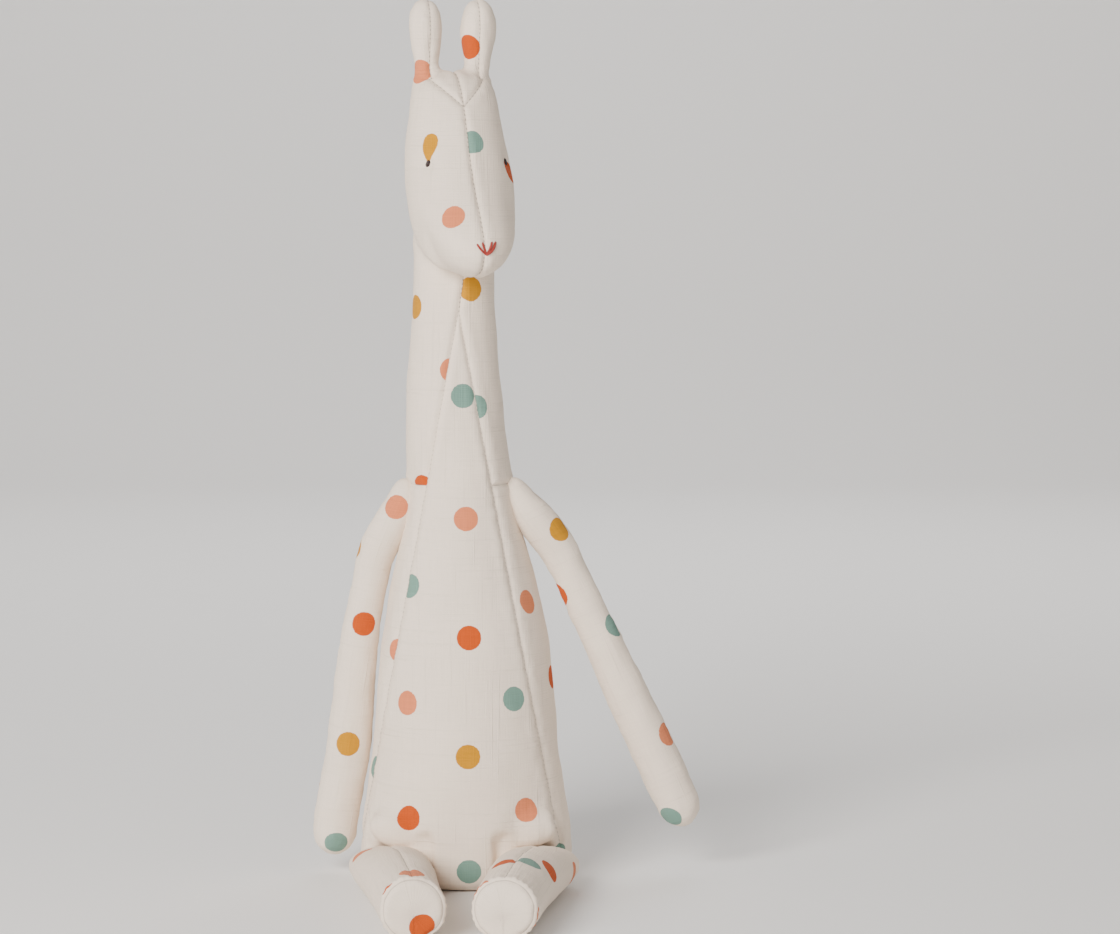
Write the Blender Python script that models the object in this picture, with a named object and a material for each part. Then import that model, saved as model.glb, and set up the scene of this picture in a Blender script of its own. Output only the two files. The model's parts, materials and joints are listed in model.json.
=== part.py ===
"""A sewn and stuffed linen giraffe that sits on the floor, one object per physical piece.

Metres, +Z up. The giraffe faces -Y, so its own left side is +X. The origin is the middle of
the flat seat. Linen panels are thin shells around separate fillings. The limbs, head and
ears turn on rounded roots, each about its own pivot.
"""

import math

import bmesh
import bpy
from mathutils import Matrix, Vector

# ---------------------------------------------------------------- clearances and cloth
GAP = 0.0003              # between pieces that touch
SOCKET_GAP = 0.0007       # around a rounded root that turns in its socket
FABRIC = 0.0010           # linen with its seam allowance
BIG = 1.2                 # size of the blocks that trim a piece to one side of a seam
OVERLAP = 0.004           # how far a cutter runs past the surface it cuts

# ---------------------------------------------------------------- body
NECK_PIVOT_Z = 0.3185     # height at which the head nods on the neck
NECK_X = -0.005           # the neck leans this far to the giraffe's right
NECK_Y = 0.004
NECK_RADIUS = 0.0200
SEAT_ROUND = 0.008        # radius of the edge between seat and sides
SEAT_HALF_WIDTH = 0.044
SEAT_HALF_DEPTH = 0.034
GUSSET_TOP_Z = 0.2850     # where the belly gusset ends in a point on the neck
GUSSET_HALF_WIDTH = 0.054  # half its width at the floor
GUSSET_BACK_Y = 0.0012    # no gusset cloth lies behind this
BODY_POWER = 2.1          # above 2, a section is squarer than an ellipse
MIDDLE_X = -0.0025        # the middle seam runs up the front of the neck and the back here
SHOULDER_Z = 0.195
SHOULDER_SEAM_RISE = 0.0035   # the arm's top is sewn into the seam this far above its pivot

# share of the pivot height: sideways lean, half width, depth in front, depth behind
BODY_STATIONS = (
    (0.025, 0.0000, 0.0540, 0.0495, 0.0455),
    (0.080, 0.0000, 0.0535, 0.0495, 0.0445),
    (0.140, 0.0000, 0.0498, 0.0475, 0.0425),
    (0.203, 0.0000, 0.0465, 0.0455, 0.0405),
    (0.295, 0.0000, 0.0445, 0.0420, 0.0385),
    (0.388, -0.0002, 0.0418, 0.0380, 0.0355),
    (0.480, -0.0010, 0.0358, 0.0325, 0.0310),
    (0.548, -0.0018, 0.0305, 0.0285, 0.0275),
    (0.615, -0.0028, 0.0272, 0.0262, 0.0258),
    (0.726, -0.0050, 0.0252, 0.0245, 0.0245),
    (0.800, -0.0060, 0.0232, 0.0228, 0.0228),
    (0.860, -0.0057, 0.0214, 0.0212, 0.0212),
)

# ---------------------------------------------------------------- head and ears
HEAD_TURN = math.radians(16)
HEAD_HEIGHT = 0.0855      # pivot to crown
HEAD_REACH = 0.060        # pivot to the tip of the muzzle
HEAD_HALF_WIDTH = 0.0262
HEAD_POWER = 2.15
NOD_LIMIT = math.radians(15)
EAR_LIMIT = math.radians(15)
SWING_MARGIN = math.radians(3)
CROWN_SEAM_FRONT = (-0.024, 0.066)   # y and z of the point of the forehead V
CROWN_SEAM_BACK = (0.019, 0.070)     # y and z of the same seam behind
EAR_SPACING = 0.0250
EAR_Y = 0.005
EAR_PIVOT_Z = 0.0800
EAR_LENGTH = 0.0398
EAR_ROOT_RADIUS = 0.0058
EAR_HALF_WIDTH = 0.0088
EAR_HALF_DEPTH = 0.0082
EAR_LEAN = math.radians(2)
EAR_SWELL_SHARE = 0.60    # share of the length over which the ear widens
EAR_SWELL_EASE = 1.6      # above 1, the root stays slim for longer
EAR_CLOSE_SHARE = 0.55    # share of the length at which the tip starts to close
EAR_CLOSE_POWER = 2.4     # higher is a blunter tip
EYE_Z = 0.0387            # above the head's pivot
EYE_ANGLE = math.radians(49)          # from the middle of the face
EYE_HEIGHT = 0.0042
EYE_WIDTH = 0.0017
EYE_DEPTH = 0.0012
NOSE_LOW_Z = -0.0054      # level of the nose's point, measured in the middle of the head
NOSE_WIDTH = 0.0085
NOSE_HEIGHT = 0.0060
FLOSS_RADIUS = 0.00045

# shares of reach, height and half width: front point, back point, half width
HEAD_STATIONS = (
    (-0.13, 0.955, 0.19, 0.955, 0.52),
    (-0.25, 0.870, 0.29, 0.890, 0.78),
    (-0.37, 0.720, 0.34, 0.750, 0.86),
    (-0.50, 0.520, 0.36, 0.570, 0.95),
    (-0.65, 0.325, 0.36, 0.375, 1.00),
    (-0.81, 0.175, 0.335, 0.170, 0.97),
    (-0.935, 0.075, 0.180, -0.060, 0.88),
    (-1.000, -0.020, -0.110, -0.160, 0.77),
    (-0.985, -0.100, -0.400, -0.190, 0.62),
    (-0.920, -0.160, -0.560, -0.196, 0.42),
)
CROWN_POLE = (0.03, 1.0)
CHIN_POLE = (-0.76, -0.200)

# ---------------------------------------------------------------- arms and legs
ARM_LENGTH = 0.1885
ARM_ROOT_RADIUS = 0.0060
ARM_TOP_RADIUS = 0.0092
ARM_HAND_RADIUS = 0.0116
ARM_CLEARANCE = 0.0010
ARM_TOP_RUN = 0.022       # length over which the root widens to the top radius
ARM_HAND_START = 0.050    # where the arm starts to widen to the hand's radius
ARM_HAND_RUN = 0.080
ARM_FREE_TOP = 0.012      # above this the arm keeps its own lean, whatever lies beside it
ARM_ROW_EASE = 1.35       # above 1, the rows crowd towards the hand
ARM_TIP_SHARE = 0.04      # share of the hand's cap that its last face closes
SHOULDER_SPACE = 4 * GAP + 0.0010    # the thread ring lies between the arm and the body
RIGHT_ARM_LEAN = math.radians(9)
LEFT_ARM_LEAN = math.radians(25)

HIP_SPACING = 0.075
RIGHT_TOE_IN = math.radians(8.5)
LEFT_TOE_IN = math.radians(7.5)
LEG_LENGTH = 0.120
LEG_ROOT_RADIUS = 0.0105
LEG_ROOT_HALF_WIDTH = 0.0195
SOLE_RADIUS = 0.0155
SOLE_DOME = 0.0016
SOLE_SPACE = 0.0020       # at least this much between the two soles, whatever the toe-in
HIP_RELIEF = 0.0012       # room above the thigh's round root
LEG_UP_LIMIT = math.radians(12)
LEG_POWER = 2.3           # squareness of the thigh's section, which rounds off at the sole
LEG_ROOT_TAPER = 0.12     # how much narrower the very back of the root is
LEG_SWELL_SHARE = 0.7     # share of the length over which the leg rises to the sole's height
HIP_INSET = 0.0030        # how far the hip axis sits behind the front of the belly

# ---------------------------------------------------------------- inside and threads
POUCH_HALF_WIDTH = 0.028
POUCH_HALF_DEPTH = 0.022
POUCH_HEIGHT = 0.016
THREAD_RADIUS = 0.0004
SHOULDER_THREAD_RING = 0.0034
CLOSING_FROM_Z = 0.070
CLOSING_TO_Z = 0.150
CLOSING_STITCHES = 16
CLOSING_HALF_WIDTH = 0.0014

# ---------------------------------------------------------------- how finely things are cut
BODY_SIDES = 28
BODY_ROWS = 17
HEAD_SIDES = 24
SOCKET_SIDES = 32
POLE_SHARE = 0.25
ARM_SIDES = 14
ARM_ROWS = 18
LEG_SIDES = 18
LEG_ROWS = 8
EAR_SIDES = 12
EAR_ROWS = 8

# colour, roughness
LINEN = ((0.73, 0.66, 0.60), 0.92)
LINEN_HEAD = ((0.68, 0.61, 0.56), 0.92)
FLEECE = ((0.90, 0.89, 0.86), 0.97)
CALICO = ((0.78, 0.72, 0.62), 0.95)
DARK_FLOSS = ((0.030, 0.008, 0.006), 0.60)
RED_FLOSS = ((0.250, 0.012, 0.006), 0.65)
PALE_THREAD = ((0.70, 0.64, 0.57), 0.80)


def clear_scene():
    for item in list(bpy.data.objects):
        bpy.data.objects.remove(item, do_unlink=True)


# ================================================================ small helpers
def material(name, finish):
    colour, roughness = finish
    made = bpy.data.materials.new(name)
    made.use_nodes = True
    shader = made.node_tree.nodes["Principled BSDF"]
    shader.inputs["Base Color"].default_value = (*colour, 1.0)
    shader.inputs["Roughness"].default_value = roughness
    shader.inputs["Metallic"].default_value = 0.0
    made.diffuse_color = (*colour, 1.0)
    return made


def smooth_table(table, at):
    """Read a table of stations at one place, along a smooth curve through its rows."""
    if at <= table[0][0]:
        return table[0][1:]
    if at >= table[-1][0]:
        return table[-1][1:]
    low = max(i for i, row in enumerate(table) if row[0] <= at)

    def slope(row, column):
        before = table[max(row - 1, 0)]
        after = table[min(row + 1, len(table) - 1)]
        return (after[column] - before[column]) / (after[0] - before[0])

    width = table[low + 1][0] - table[low][0]
    t = (at - table[low][0]) / width
    values = []
    for column in range(1, len(table[0])):
        first = table[low][column] * (2 * t**3 - 3 * t**2 + 1)
        second = table[low + 1][column] * (-2 * t**3 + 3 * t**2)
        leave = slope(low, column) * width * (t**3 - 2 * t**2 + t)
        arrive = slope(low + 1, column) * width * (t**3 - t**2)
        values.append(first + second + leave + arrive)
    return values


def on_oval(angle, power=2.0):
    """The place at one angle on an oval of unit size, rounder or squarer with its power."""
    across = math.cos(angle)
    along = math.sin(angle)
    x = math.copysign(abs(across) ** (2 / power), across)
    y = math.copysign(abs(along) ** (2 / power), along)
    return x, y


def ring(centre, side, up, half_side, half_up, half_down, count, power=2.0):
    """A closed ring of points around a centre.

    No point lies on the ring's own axes, so a seam down the middle cuts faces, not corners.
    """
    points = []
    for i in range(count):
        x, y = on_oval(2 * math.pi * (i + 0.5) / count, power)
        depth = half_up if y >= 0 else half_down
        points.append(Vector(centre) + Vector(side) * x * half_side + Vector(up) * y * depth)
    return points


def skin_over(rings, first_pole, last_pole, inset=0.0):
    """A closed surface through rings, moved inwards by inset.

    Each end narrows to a small flat face around its pole, so no corner lies on a seam.
    """
    first = [Vector(first_pole).lerp(point, POLE_SHARE) for point in rings[0]]
    last = [Vector(last_pole).lerp(point, POLE_SHARE) for point in rings[-1]]
    rings = [first, *rings, last]
    mesh = bmesh.new()
    loops = [[mesh.verts.new(point) for point in points] for points in rings]
    count = len(rings[0])
    for lower, upper in zip(loops, loops[1:]):
        for i in range(count):
            j = (i + 1) % count
            mesh.faces.new((lower[i], lower[j], upper[j], upper[i]))
    mesh.faces.new(loops[0])
    mesh.faces.new(loops[-1])
    bmesh.ops.recalc_face_normals(mesh, faces=mesh.faces)
    if inset:
        mesh.normal_update()
        moves = [(vert, vert.normal * vert.calc_shell_factor() * inset) for vert in mesh.verts]
        for vert, move in moves:
            vert.co -= move
    return mesh


def add(name, mesh, finish, parent=None, sharp=40):
    """Turn a bmesh into a named, smooth-shaded object with its own material."""
    data = bpy.data.meshes.new(name)
    mesh.to_mesh(data)
    mesh.free()
    data.shade_smooth()
    data.set_sharp_from_angle(angle=math.radians(sharp))
    item = bpy.data.objects.new(name, data)
    bpy.context.collection.objects.link(item)
    item.parent = parent
    if finish:
        data.materials.append(material(name, finish))
    return item


def cutter(name, mesh, parent=None):
    item = add(name, mesh, None, parent)
    item.hide_render = True
    item.display_type = "WIRE"
    return item


def empty(name, place, turn=0.0, parent=None):
    item = bpy.data.objects.new(name, None)
    item.location = place
    item.rotation_euler = (0, 0, turn)
    item.parent = parent
    bpy.context.collection.objects.link(item)
    return item


def boolean(item, tool, operation="DIFFERENCE"):
    step = item.modifiers.new(tool.name, "BOOLEAN")
    step.operation = operation
    step.solver = "EXACT"
    step.object = tool
    return item


def linen(item):
    """Give a closed surface the thickness of the cloth, inwards."""
    wall = item.modifiers.new("cloth", "SOLIDIFY")
    wall.thickness = FABRIC
    wall.offset = -1
    return item


def block_behind(name, point, keep, parent=None):
    """A block that removes everything on the far side of a plane."""
    mesh = bmesh.new()
    bmesh.ops.create_cube(mesh, size=BIG)
    turn = Vector(keep).to_track_quat("Z", "Y").to_matrix().to_4x4()
    place = Matrix.Translation(Vector(point)) @ turn @ Matrix.Translation((0, 0, -BIG / 2))
    bmesh.ops.transform(mesh, matrix=place, verts=mesh.verts)
    return cutter(name, mesh, parent)


def ball(radius, sides, centre=(0, 0, 0)):
    mesh = bmesh.new()
    bmesh.ops.create_uvsphere(mesh, u_segments=sides, v_segments=sides // 2, radius=radius)
    bmesh.ops.translate(mesh, vec=centre, verts=mesh.verts)
    return mesh


def prism(outline, low, high, axis):
    """A closed outline pushed along X, Y or Z, from low to high."""
    mesh = bmesh.new()

    def corner(pair, level):
        values = list(pair)
        values.insert(axis, level)
        return mesh.verts.new(values)

    near = [corner(pair, low) for pair in outline]
    far = [corner(pair, high) for pair in outline]
    mesh.faces.new(near)
    mesh.faces.new(far)
    for i in range(len(outline)):
        j = (i + 1) % len(outline)
        mesh.faces.new((near[i], near[j], far[j], far[i]))
    bmesh.ops.recalc_face_normals(mesh, faces=mesh.faces)
    return mesh


def thread(name, points, radius, finish, closed=False, parent=None):
    curve = bpy.data.curves.new(name, "CURVE")
    curve.dimensions = "3D"
    curve.bevel_depth = radius
    curve.bevel_resolution = 1
    curve.use_fill_caps = not closed
    line = curve.splines.new("POLY")
    line.points.add(len(points) - 1)
    for target, point in zip(line.points, points):
        target.co = (*point, 1.0)
    line.use_cyclic_u = closed
    curve.materials.append(material(name, finish))
    item = bpy.data.objects.new(name, curve)
    item.parent = parent
    bpy.context.collection.objects.link(item)
    return item


# ================================================================ body
def body_at(z):
    """Centre x, centre y, half width, front and back depth of the body at one height."""
    last = (1.0, NECK_X, NECK_RADIUS, NECK_RADIUS, NECK_RADIUS)
    near_last = (0.945, NECK_X, NECK_RADIUS, NECK_RADIUS, NECK_RADIUS)
    lean, half, front, back = smooth_table((*BODY_STATIONS, near_last, last), z / NECK_PIVOT_Z)
    share = min(1.0, max(0.0, (z / NECK_PIVOT_Z - 0.25) / 0.5))
    middle_y = NECK_Y * share * share * (3 - 2 * share)
    return lean, middle_y, half, front, back


def body_ring(z, less=0.0, level=None):
    x, y, half, front, back = body_at(z)
    centre = (x, y, z if level is None else level)
    sizes = (half - less, back - less, front - less)
    return ring(centre, (1, 0, 0), (0, 1, 0), *sizes, BODY_SIDES, BODY_POWER)


def body_surface(inset=0.0):
    """Seat, body and neck as one closed surface, ending in a round top at the pivot."""
    rings = [body_ring(SEAT_ROUND, SEAT_ROUND + 0.012, 0.0)]
    for step in range(4):
        angle = math.pi / 2 * step / 3
        less = SEAT_ROUND * (1 - math.sin(angle))
        rings.append(body_ring(SEAT_ROUND, less, SEAT_ROUND * (1 - math.cos(angle))))
    for row in range(1, BODY_ROWS):
        rings.append(body_ring(SEAT_ROUND + (NECK_PIVOT_Z - SEAT_ROUND) * row / BODY_ROWS))
    for latitude in (0, 18, 36, 54, 72):
        angle = math.radians(latitude)
        centre = (NECK_X, NECK_Y, NECK_PIVOT_Z + NECK_RADIUS * math.sin(angle))
        size = NECK_RADIUS * math.cos(angle)
        rings.append(ring(centre, (1, 0, 0), (0, 1, 0), size, size, size, BODY_SIDES))
    top = (NECK_X, NECK_Y, NECK_PIVOT_Z + NECK_RADIUS)
    return skin_over(rings, (0, 0, 0), top, inset)


def gusset_wedge(name, grow):
    """The front of the body between the two gusset seams, each grown by half a gap."""
    slope = GUSSET_TOP_Z / GUSSET_HALF_WIDTH
    outline = (
        (MIDDLE_X, GUSSET_TOP_Z + grow * slope),
        (MIDDLE_X - GUSSET_HALF_WIDTH - grow, 0.0),
        (MIDDLE_X - GUSSET_HALF_WIDTH - grow, -OVERLAP),
        (MIDDLE_X + GUSSET_HALF_WIDTH + grow, -OVERLAP),
        (MIDDLE_X + GUSSET_HALF_WIDTH + grow, 0.0),
    )
    return cutter(name, prism(outline, -BIG, GUSSET_BACK_Y, 1))


def seat_plug(name, grow):
    outline = ring((0, 0, 0), (1, 0, 0), (0, 1, 0), SEAT_HALF_WIDTH + grow,
                   SEAT_HALF_DEPTH + grow, SEAT_HALF_DEPTH + grow, BODY_SIDES)
    pairs = [(point.x, point.y) for point in outline]
    return cutter(name, prism(pairs, -OVERLAP, OVERLAP, 2))


def hip_pocket(name, hip):
    """Room in the body for one thigh: round behind the hip axis, open below and in front."""
    radius = LEG_ROOT_RADIUS + HIP_RELIEF
    leg_slope = math.atan2(2 * (SOLE_RADIUS - LEG_ROOT_RADIUS), 0.5 * LEG_LENGTH)
    flare = LEG_UP_LIMIT + leg_slope
    floor = -LEG_ROOT_RADIUS - OVERLAP
    outline = [(radius, floor)]
    steps = 12
    for step in range(steps + 1):
        angle = (math.pi / 2 - flare) * step / steps
        outline.append((radius * math.cos(angle), radius * math.sin(angle)))
    front = -HIP_SPACING
    run = outline[-1][0] - front
    outline.append((front, outline[-1][1] + run * math.tan(flare)))
    outline.append((front, floor))
    reach = LEG_ROOT_HALF_WIDTH + SOCKET_GAP
    return cutter(name, prism(outline, -reach, reach, 0), hip)


def make_body(hips):
    keep_left = block_behind("trim_left_half", (MIDDLE_X + GAP / 2, 0, 0), (1, 0, 0))
    keep_right = block_behind("trim_right_half", (MIDDLE_X - GAP / 2, 0, 0), (-1, 0, 0))
    wedge = gusset_wedge("gusset_shape", 0.0)
    wedge_room = gusset_wedge("gusset_room", GAP)
    seat = seat_plug("seat_shape", 0.0)
    seat_room = seat_plug("seat_room", GAP)
    pockets = [hip_pocket("hip_pocket_" + side, hip) for side, hip in hips.items()]

    seam_z = SHOULDER_Z + SHOULDER_SEAM_RISE
    over_seam = block_behind("trim_over_shoulder_seam", (0, 0, seam_z - GAP / 2), (0, 0, -1))
    under_seam = block_behind("trim_under_shoulder_seam", (0, 0, seam_z + GAP / 2), (0, 0, 1))
    for side, trim in (("left", keep_left), ("right", keep_right)):
        lower = linen(add("body_side_" + side, body_surface(), LINEN))
        for tool in (trim, over_seam, wedge_room, seat_room, *pockets):
            boolean(lower, tool)
        upper = linen(add("neck_side_" + side, body_surface(), LINEN))
        for tool in (trim, under_seam, wedge_room):
            boolean(upper, tool)

    gusset = linen(add("belly_gusset", body_surface(), LINEN))
    boolean(gusset, wedge, "INTERSECT")
    for tool in (seat_room, *pockets):
        boolean(gusset, tool)

    seat_panel = linen(add("seat_base", body_surface(), LINEN))
    boolean(seat_panel, seat, "INTERSECT")
    for tool in pockets:
        boolean(seat_panel, tool)

    pouch_room = pouch("pouch_room", GAP, None)
    body_filling = add("body_filling", body_surface(FABRIC + GAP), FLEECE)
    above = block_behind("trim_above_shoulders", (0, 0, SHOULDER_Z - GAP / 2), (0, 0, -1))
    for tool in (above, pouch_room, *pockets):
        boolean(body_filling, tool)
    neck_filling = add("neck_filling", body_surface(FABRIC + GAP), FLEECE)
    below = block_behind("trim_below_shoulders", (0, 0, SHOULDER_Z + GAP / 2), (0, 0, 1))
    boolean(neck_filling, below)
    pouch("ballast_pouch", 0.0, CALICO)
    closing_thread()


def pouch(name, grow, finish):
    """A flat oval bag of pellets on the seat, or the room for it when grown."""
    low = FABRIC + GAP
    rings = []
    for share, height in ((0.72, 0.0), (0.93, 0.18), (1.0, 0.5), (0.93, 0.82), (0.72, 1.0)):
        level = low + POUCH_HEIGHT * height + (grow if height == 1.0 else 0.0)
        level -= 2 * OVERLAP if finish is None and height == 0.0 else 0.0
        width = POUCH_HALF_WIDTH * (1.0 if finish is None and height < 0.5 else share) + grow
        depth = POUCH_HALF_DEPTH * (1.0 if finish is None and height < 0.5 else share) + grow
        rings.append(ring((0, 0, level), (1, 0, 0), (0, 1, 0), width, depth, depth, 24))
    bottom = (0, 0, rings[0][0].z)
    mesh = skin_over(rings, bottom, (0, 0, rings[-1][0].z))
    return add(name, mesh, finish) if finish else cutter(name, mesh)


def closing_thread():
    """The hand-sewn thread that shuts the back, a zigzag over the middle seam."""
    points = []
    for step in range(2 * CLOSING_STITCHES + 1):
        z = CLOSING_FROM_Z + (CLOSING_TO_Z - CLOSING_FROM_Z) * step / (2 * CLOSING_STITCHES)
        x, y, half, front, back = body_at(z)
        outside = THREAD_RADIUS + 2 * GAP
        side = CLOSING_HALF_WIDTH if step % 2 else -CLOSING_HALF_WIDTH
        points.append((MIDDLE_X + side, y + back + outside, z))
    thread("closing_thread", points, THREAD_RADIUS, PALE_THREAD)


# ================================================================ head
def head_surface(inset=0.0):
    rings = []
    for front_y, front_z, back_y, back_z, half in HEAD_STATIONS:
        front = Vector((0, front_y * HEAD_REACH, front_z * HEAD_HEIGHT))
        back = Vector((0, back_y * HEAD_REACH, back_z * HEAD_HEIGHT))
        middle = (front + back) / 2
        reach = (back - front).length / 2
        along = (back - front).normalized()
        width = half * HEAD_HALF_WIDTH
        rings.append(ring(middle, (1, 0, 0), along, width, reach, reach, HEAD_SIDES, HEAD_POWER))
    crown = (0, CROWN_POLE[0] * HEAD_REACH, CROWN_POLE[1] * HEAD_HEIGHT)
    chin = (0, CHIN_POLE[0] * HEAD_REACH, CHIN_POLE[1] * HEAD_HEIGHT)
    return skin_over(between(rings), crown, chin, inset)


def between(rings):
    """The same rings with one more, smoothly placed, between each pair."""
    full = [rings[0]]
    for i in range(len(rings) - 1):
        before = rings[max(i - 1, 0)]
        after = rings[min(i + 2, len(rings) - 1)]
        extra = []
        for a, b, c, d in zip(before, rings[i], rings[i + 1], after):
            extra.append((b + c) * 0.5625 - (a + d) * 0.0625)
        full.append(extra)
        full.append(rings[i + 1])
    return full


def swing_socket(name, radius, swing, away, pivot, parent):
    """Room for a round root that swings both ways: a bowl that flares towards away (+-Z)."""
    flare = swing + SWING_MARGIN
    rings = []
    steepest = math.radians(78)
    for step in range(6):
        angle = steepest + (flare - steepest) * step / 5
        size = radius * math.cos(angle)
        place = pivot - Vector((0, 0, away * radius * math.sin(angle)))
        rings.append(ring(place, (1, 0, 0), (0, 1, 0), size, size, size, SOCKET_SIDES))
    far = 2 * radius
    size = radius * math.cos(flare) + (radius * math.sin(flare) + far) * math.tan(flare)
    end = pivot + Vector((0, 0, away * far))
    rings.append(ring(end, (1, 0, 0), (0, 1, 0), size, size, size, SOCKET_SIDES))
    deep = pivot - Vector((0, 0, away * radius))
    return cutter(name, skin_over(rings, deep, end), parent)


def face_point(height, angle, outside=0.0):
    """A place on the head's surface, by height and by angle from the middle of the face."""
    table = []
    for front_y, front_z, back_y, back_z, half in HEAD_STATIONS[:8]:
        table.append(((front_z + back_z) / 2, front_y, front_z, back_y, back_z, half))
    table.reverse()
    front_y, front_z, back_y, back_z, half = smooth_table(table, height / HEAD_HEIGHT)
    front = Vector((0, front_y * HEAD_REACH, front_z * HEAD_HEIGHT))
    back = Vector((0, back_y * HEAD_REACH, back_z * HEAD_HEIGHT))
    middle = (front + back) / 2
    reach = (back - front).length / 2
    along = (front - back).normalized()
    ahead, side = on_oval(angle, HEAD_POWER)
    width = half * HEAD_HALF_WIDTH
    place = middle + Vector((side * width, 0, 0)) + along * ahead * reach
    facing = (Vector((side / width, 0, 0)) + along * ahead / reach).normalized()
    return place + facing * outside, facing


def make_head(head, ears):
    neck_room = NECK_RADIUS + SOCKET_GAP
    socket = swing_socket("neck_socket", neck_room, NOD_LIMIT, -1, Vector((0, 0, 0)), head)
    pockets = {}
    for side, pivot in ears.items():
        name = "ear_pocket_" + side
        ear_room = EAR_ROOT_RADIUS + SOCKET_GAP
        pockets[side] = swing_socket(name, ear_room, EAR_LIMIT, 1, pivot.location, head)

    seam = Vector((0, *CROWN_SEAM_FRONT))
    seam_back = Vector((0, *CROWN_SEAM_BACK))
    for side, sign in (("left", 1), ("right", -1)):
        trim = block_behind("trim_head_" + side, (sign * GAP / 2, 0, 0), (sign, 0, 0), head)
        up = (seam_back - seam).cross(ears[side].location - seam) * -sign
        up.normalize()
        below = block_behind("trim_below_crown_" + side, seam + up * GAP / 2, up, head)
        above = block_behind("trim_above_face_" + side, seam - up * GAP / 2, -up, head)
        face = linen(add("head_side_" + side, head_surface(), LINEN_HEAD, head))
        crown = linen(add("crown_" + side, head_surface(), LINEN_HEAD, head))
        for tool in (pockets[side], trim, above, socket):
            boolean(face, tool)
        for tool in (pockets[side], trim, below):
            boolean(crown, tool)

    filling = add("head_filling", head_surface(FABRIC + GAP), FLEECE, head)
    for tool in (socket, *pockets.values()):
        boolean(filling, tool)
    for side, sign in (("left", 1), ("right", -1)):
        make_eye("eye_" + side, sign, head)
        make_nose_thread("nose_thread_" + side, sign, head)


def make_eye(name, sign, head):
    place, facing = face_point(EYE_Z, sign * EYE_ANGLE, 2 * GAP + EYE_DEPTH / 2)
    mesh = ball(0.5, 10)
    turn = facing.to_track_quat("Z", "Y").to_matrix().to_4x4()
    size = Matrix.Diagonal((EYE_WIDTH, EYE_HEIGHT, EYE_DEPTH, 1.0))
    bmesh.ops.transform(mesh, matrix=turn @ size, verts=mesh.verts)
    eye = add(name, mesh, DARK_FLOSS, head)
    eye.location = place


def make_nose_thread(name, sign, head):
    """One arm of the sewn nose, from the middle of the muzzle up and outwards."""
    points = []
    steps = 6
    for step in range(steps + 1):
        share = step / steps
        height = NOSE_LOW_Z + NOSE_HEIGHT * share
        side = sign * (FLOSS_RADIUS + GAP + NOSE_WIDTH / 2 * share**0.8)
        angle = math.asin(side / (0.9 * HEAD_HALF_WIDTH))
        place, facing = face_point(height, angle, FLOSS_RADIUS + 3 * GAP)
        points.append(place)
    thread(name, points, FLOSS_RADIUS, RED_FLOSS, parent=head)


def ear_surface(inset=0.0):
    """A pod standing on its pivot, round at the root and wider near the top."""
    rings = []
    for latitude in (-66, -42, -20):
        angle = math.radians(latitude)
        size = EAR_ROOT_RADIUS * math.cos(angle)
        centre = (0, 0, EAR_ROOT_RADIUS * math.sin(angle))
        rings.append(ring(centre, (1, 0, 0), (0, 1, 0), size, size, size, EAR_SIDES))
    for row in range(EAR_ROWS):
        share = row / EAR_ROWS
        swell = math.sin(math.pi / 2 * min(1.0, share / EAR_SWELL_SHARE)) ** EAR_SWELL_EASE
        past = max(0.0, (share - EAR_CLOSE_SHARE) / (1 - EAR_CLOSE_SHARE))
        close = math.sqrt(max(0.0, 1 - past**EAR_CLOSE_POWER))
        width = (EAR_ROOT_RADIUS + (EAR_HALF_WIDTH - EAR_ROOT_RADIUS) * swell) * close
        depth = (EAR_ROOT_RADIUS + (EAR_HALF_DEPTH - EAR_ROOT_RADIUS) * swell) * close
        centre = (0, 0, EAR_LENGTH * share)
        rings.append(ring(centre, (1, 0, 0), (0, 1, 0), width, depth, depth, EAR_SIDES))
    return skin_over(rings, (0, 0, -EAR_ROOT_RADIUS), (0, 0, EAR_LENGTH), inset)


def make_ear(side, sign, pivot):
    for part, facing in (("outer", sign), ("inner", -sign)):
        name = "ear_" + side + "_" + part
        trim = block_behind("trim_" + name, (facing * GAP / 2, 0, 0), (facing, 0, 0), pivot)
        boolean(linen(add(name, ear_surface(), LINEN_HEAD, pivot)), trim)
    add("ear_" + side + "_filling", ear_surface(FABRIC + GAP), FLEECE, pivot)


# ================================================================ arms
def shoulder(sign):
    """The place that one arm turns about, just clear of the body's side."""
    x, y, half, front, back = body_at(SHOULDER_Z)
    return Vector((x + sign * (half + SHOULDER_SPACE + ARM_ROOT_RADIUS), y, SHOULDER_Z))


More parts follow.
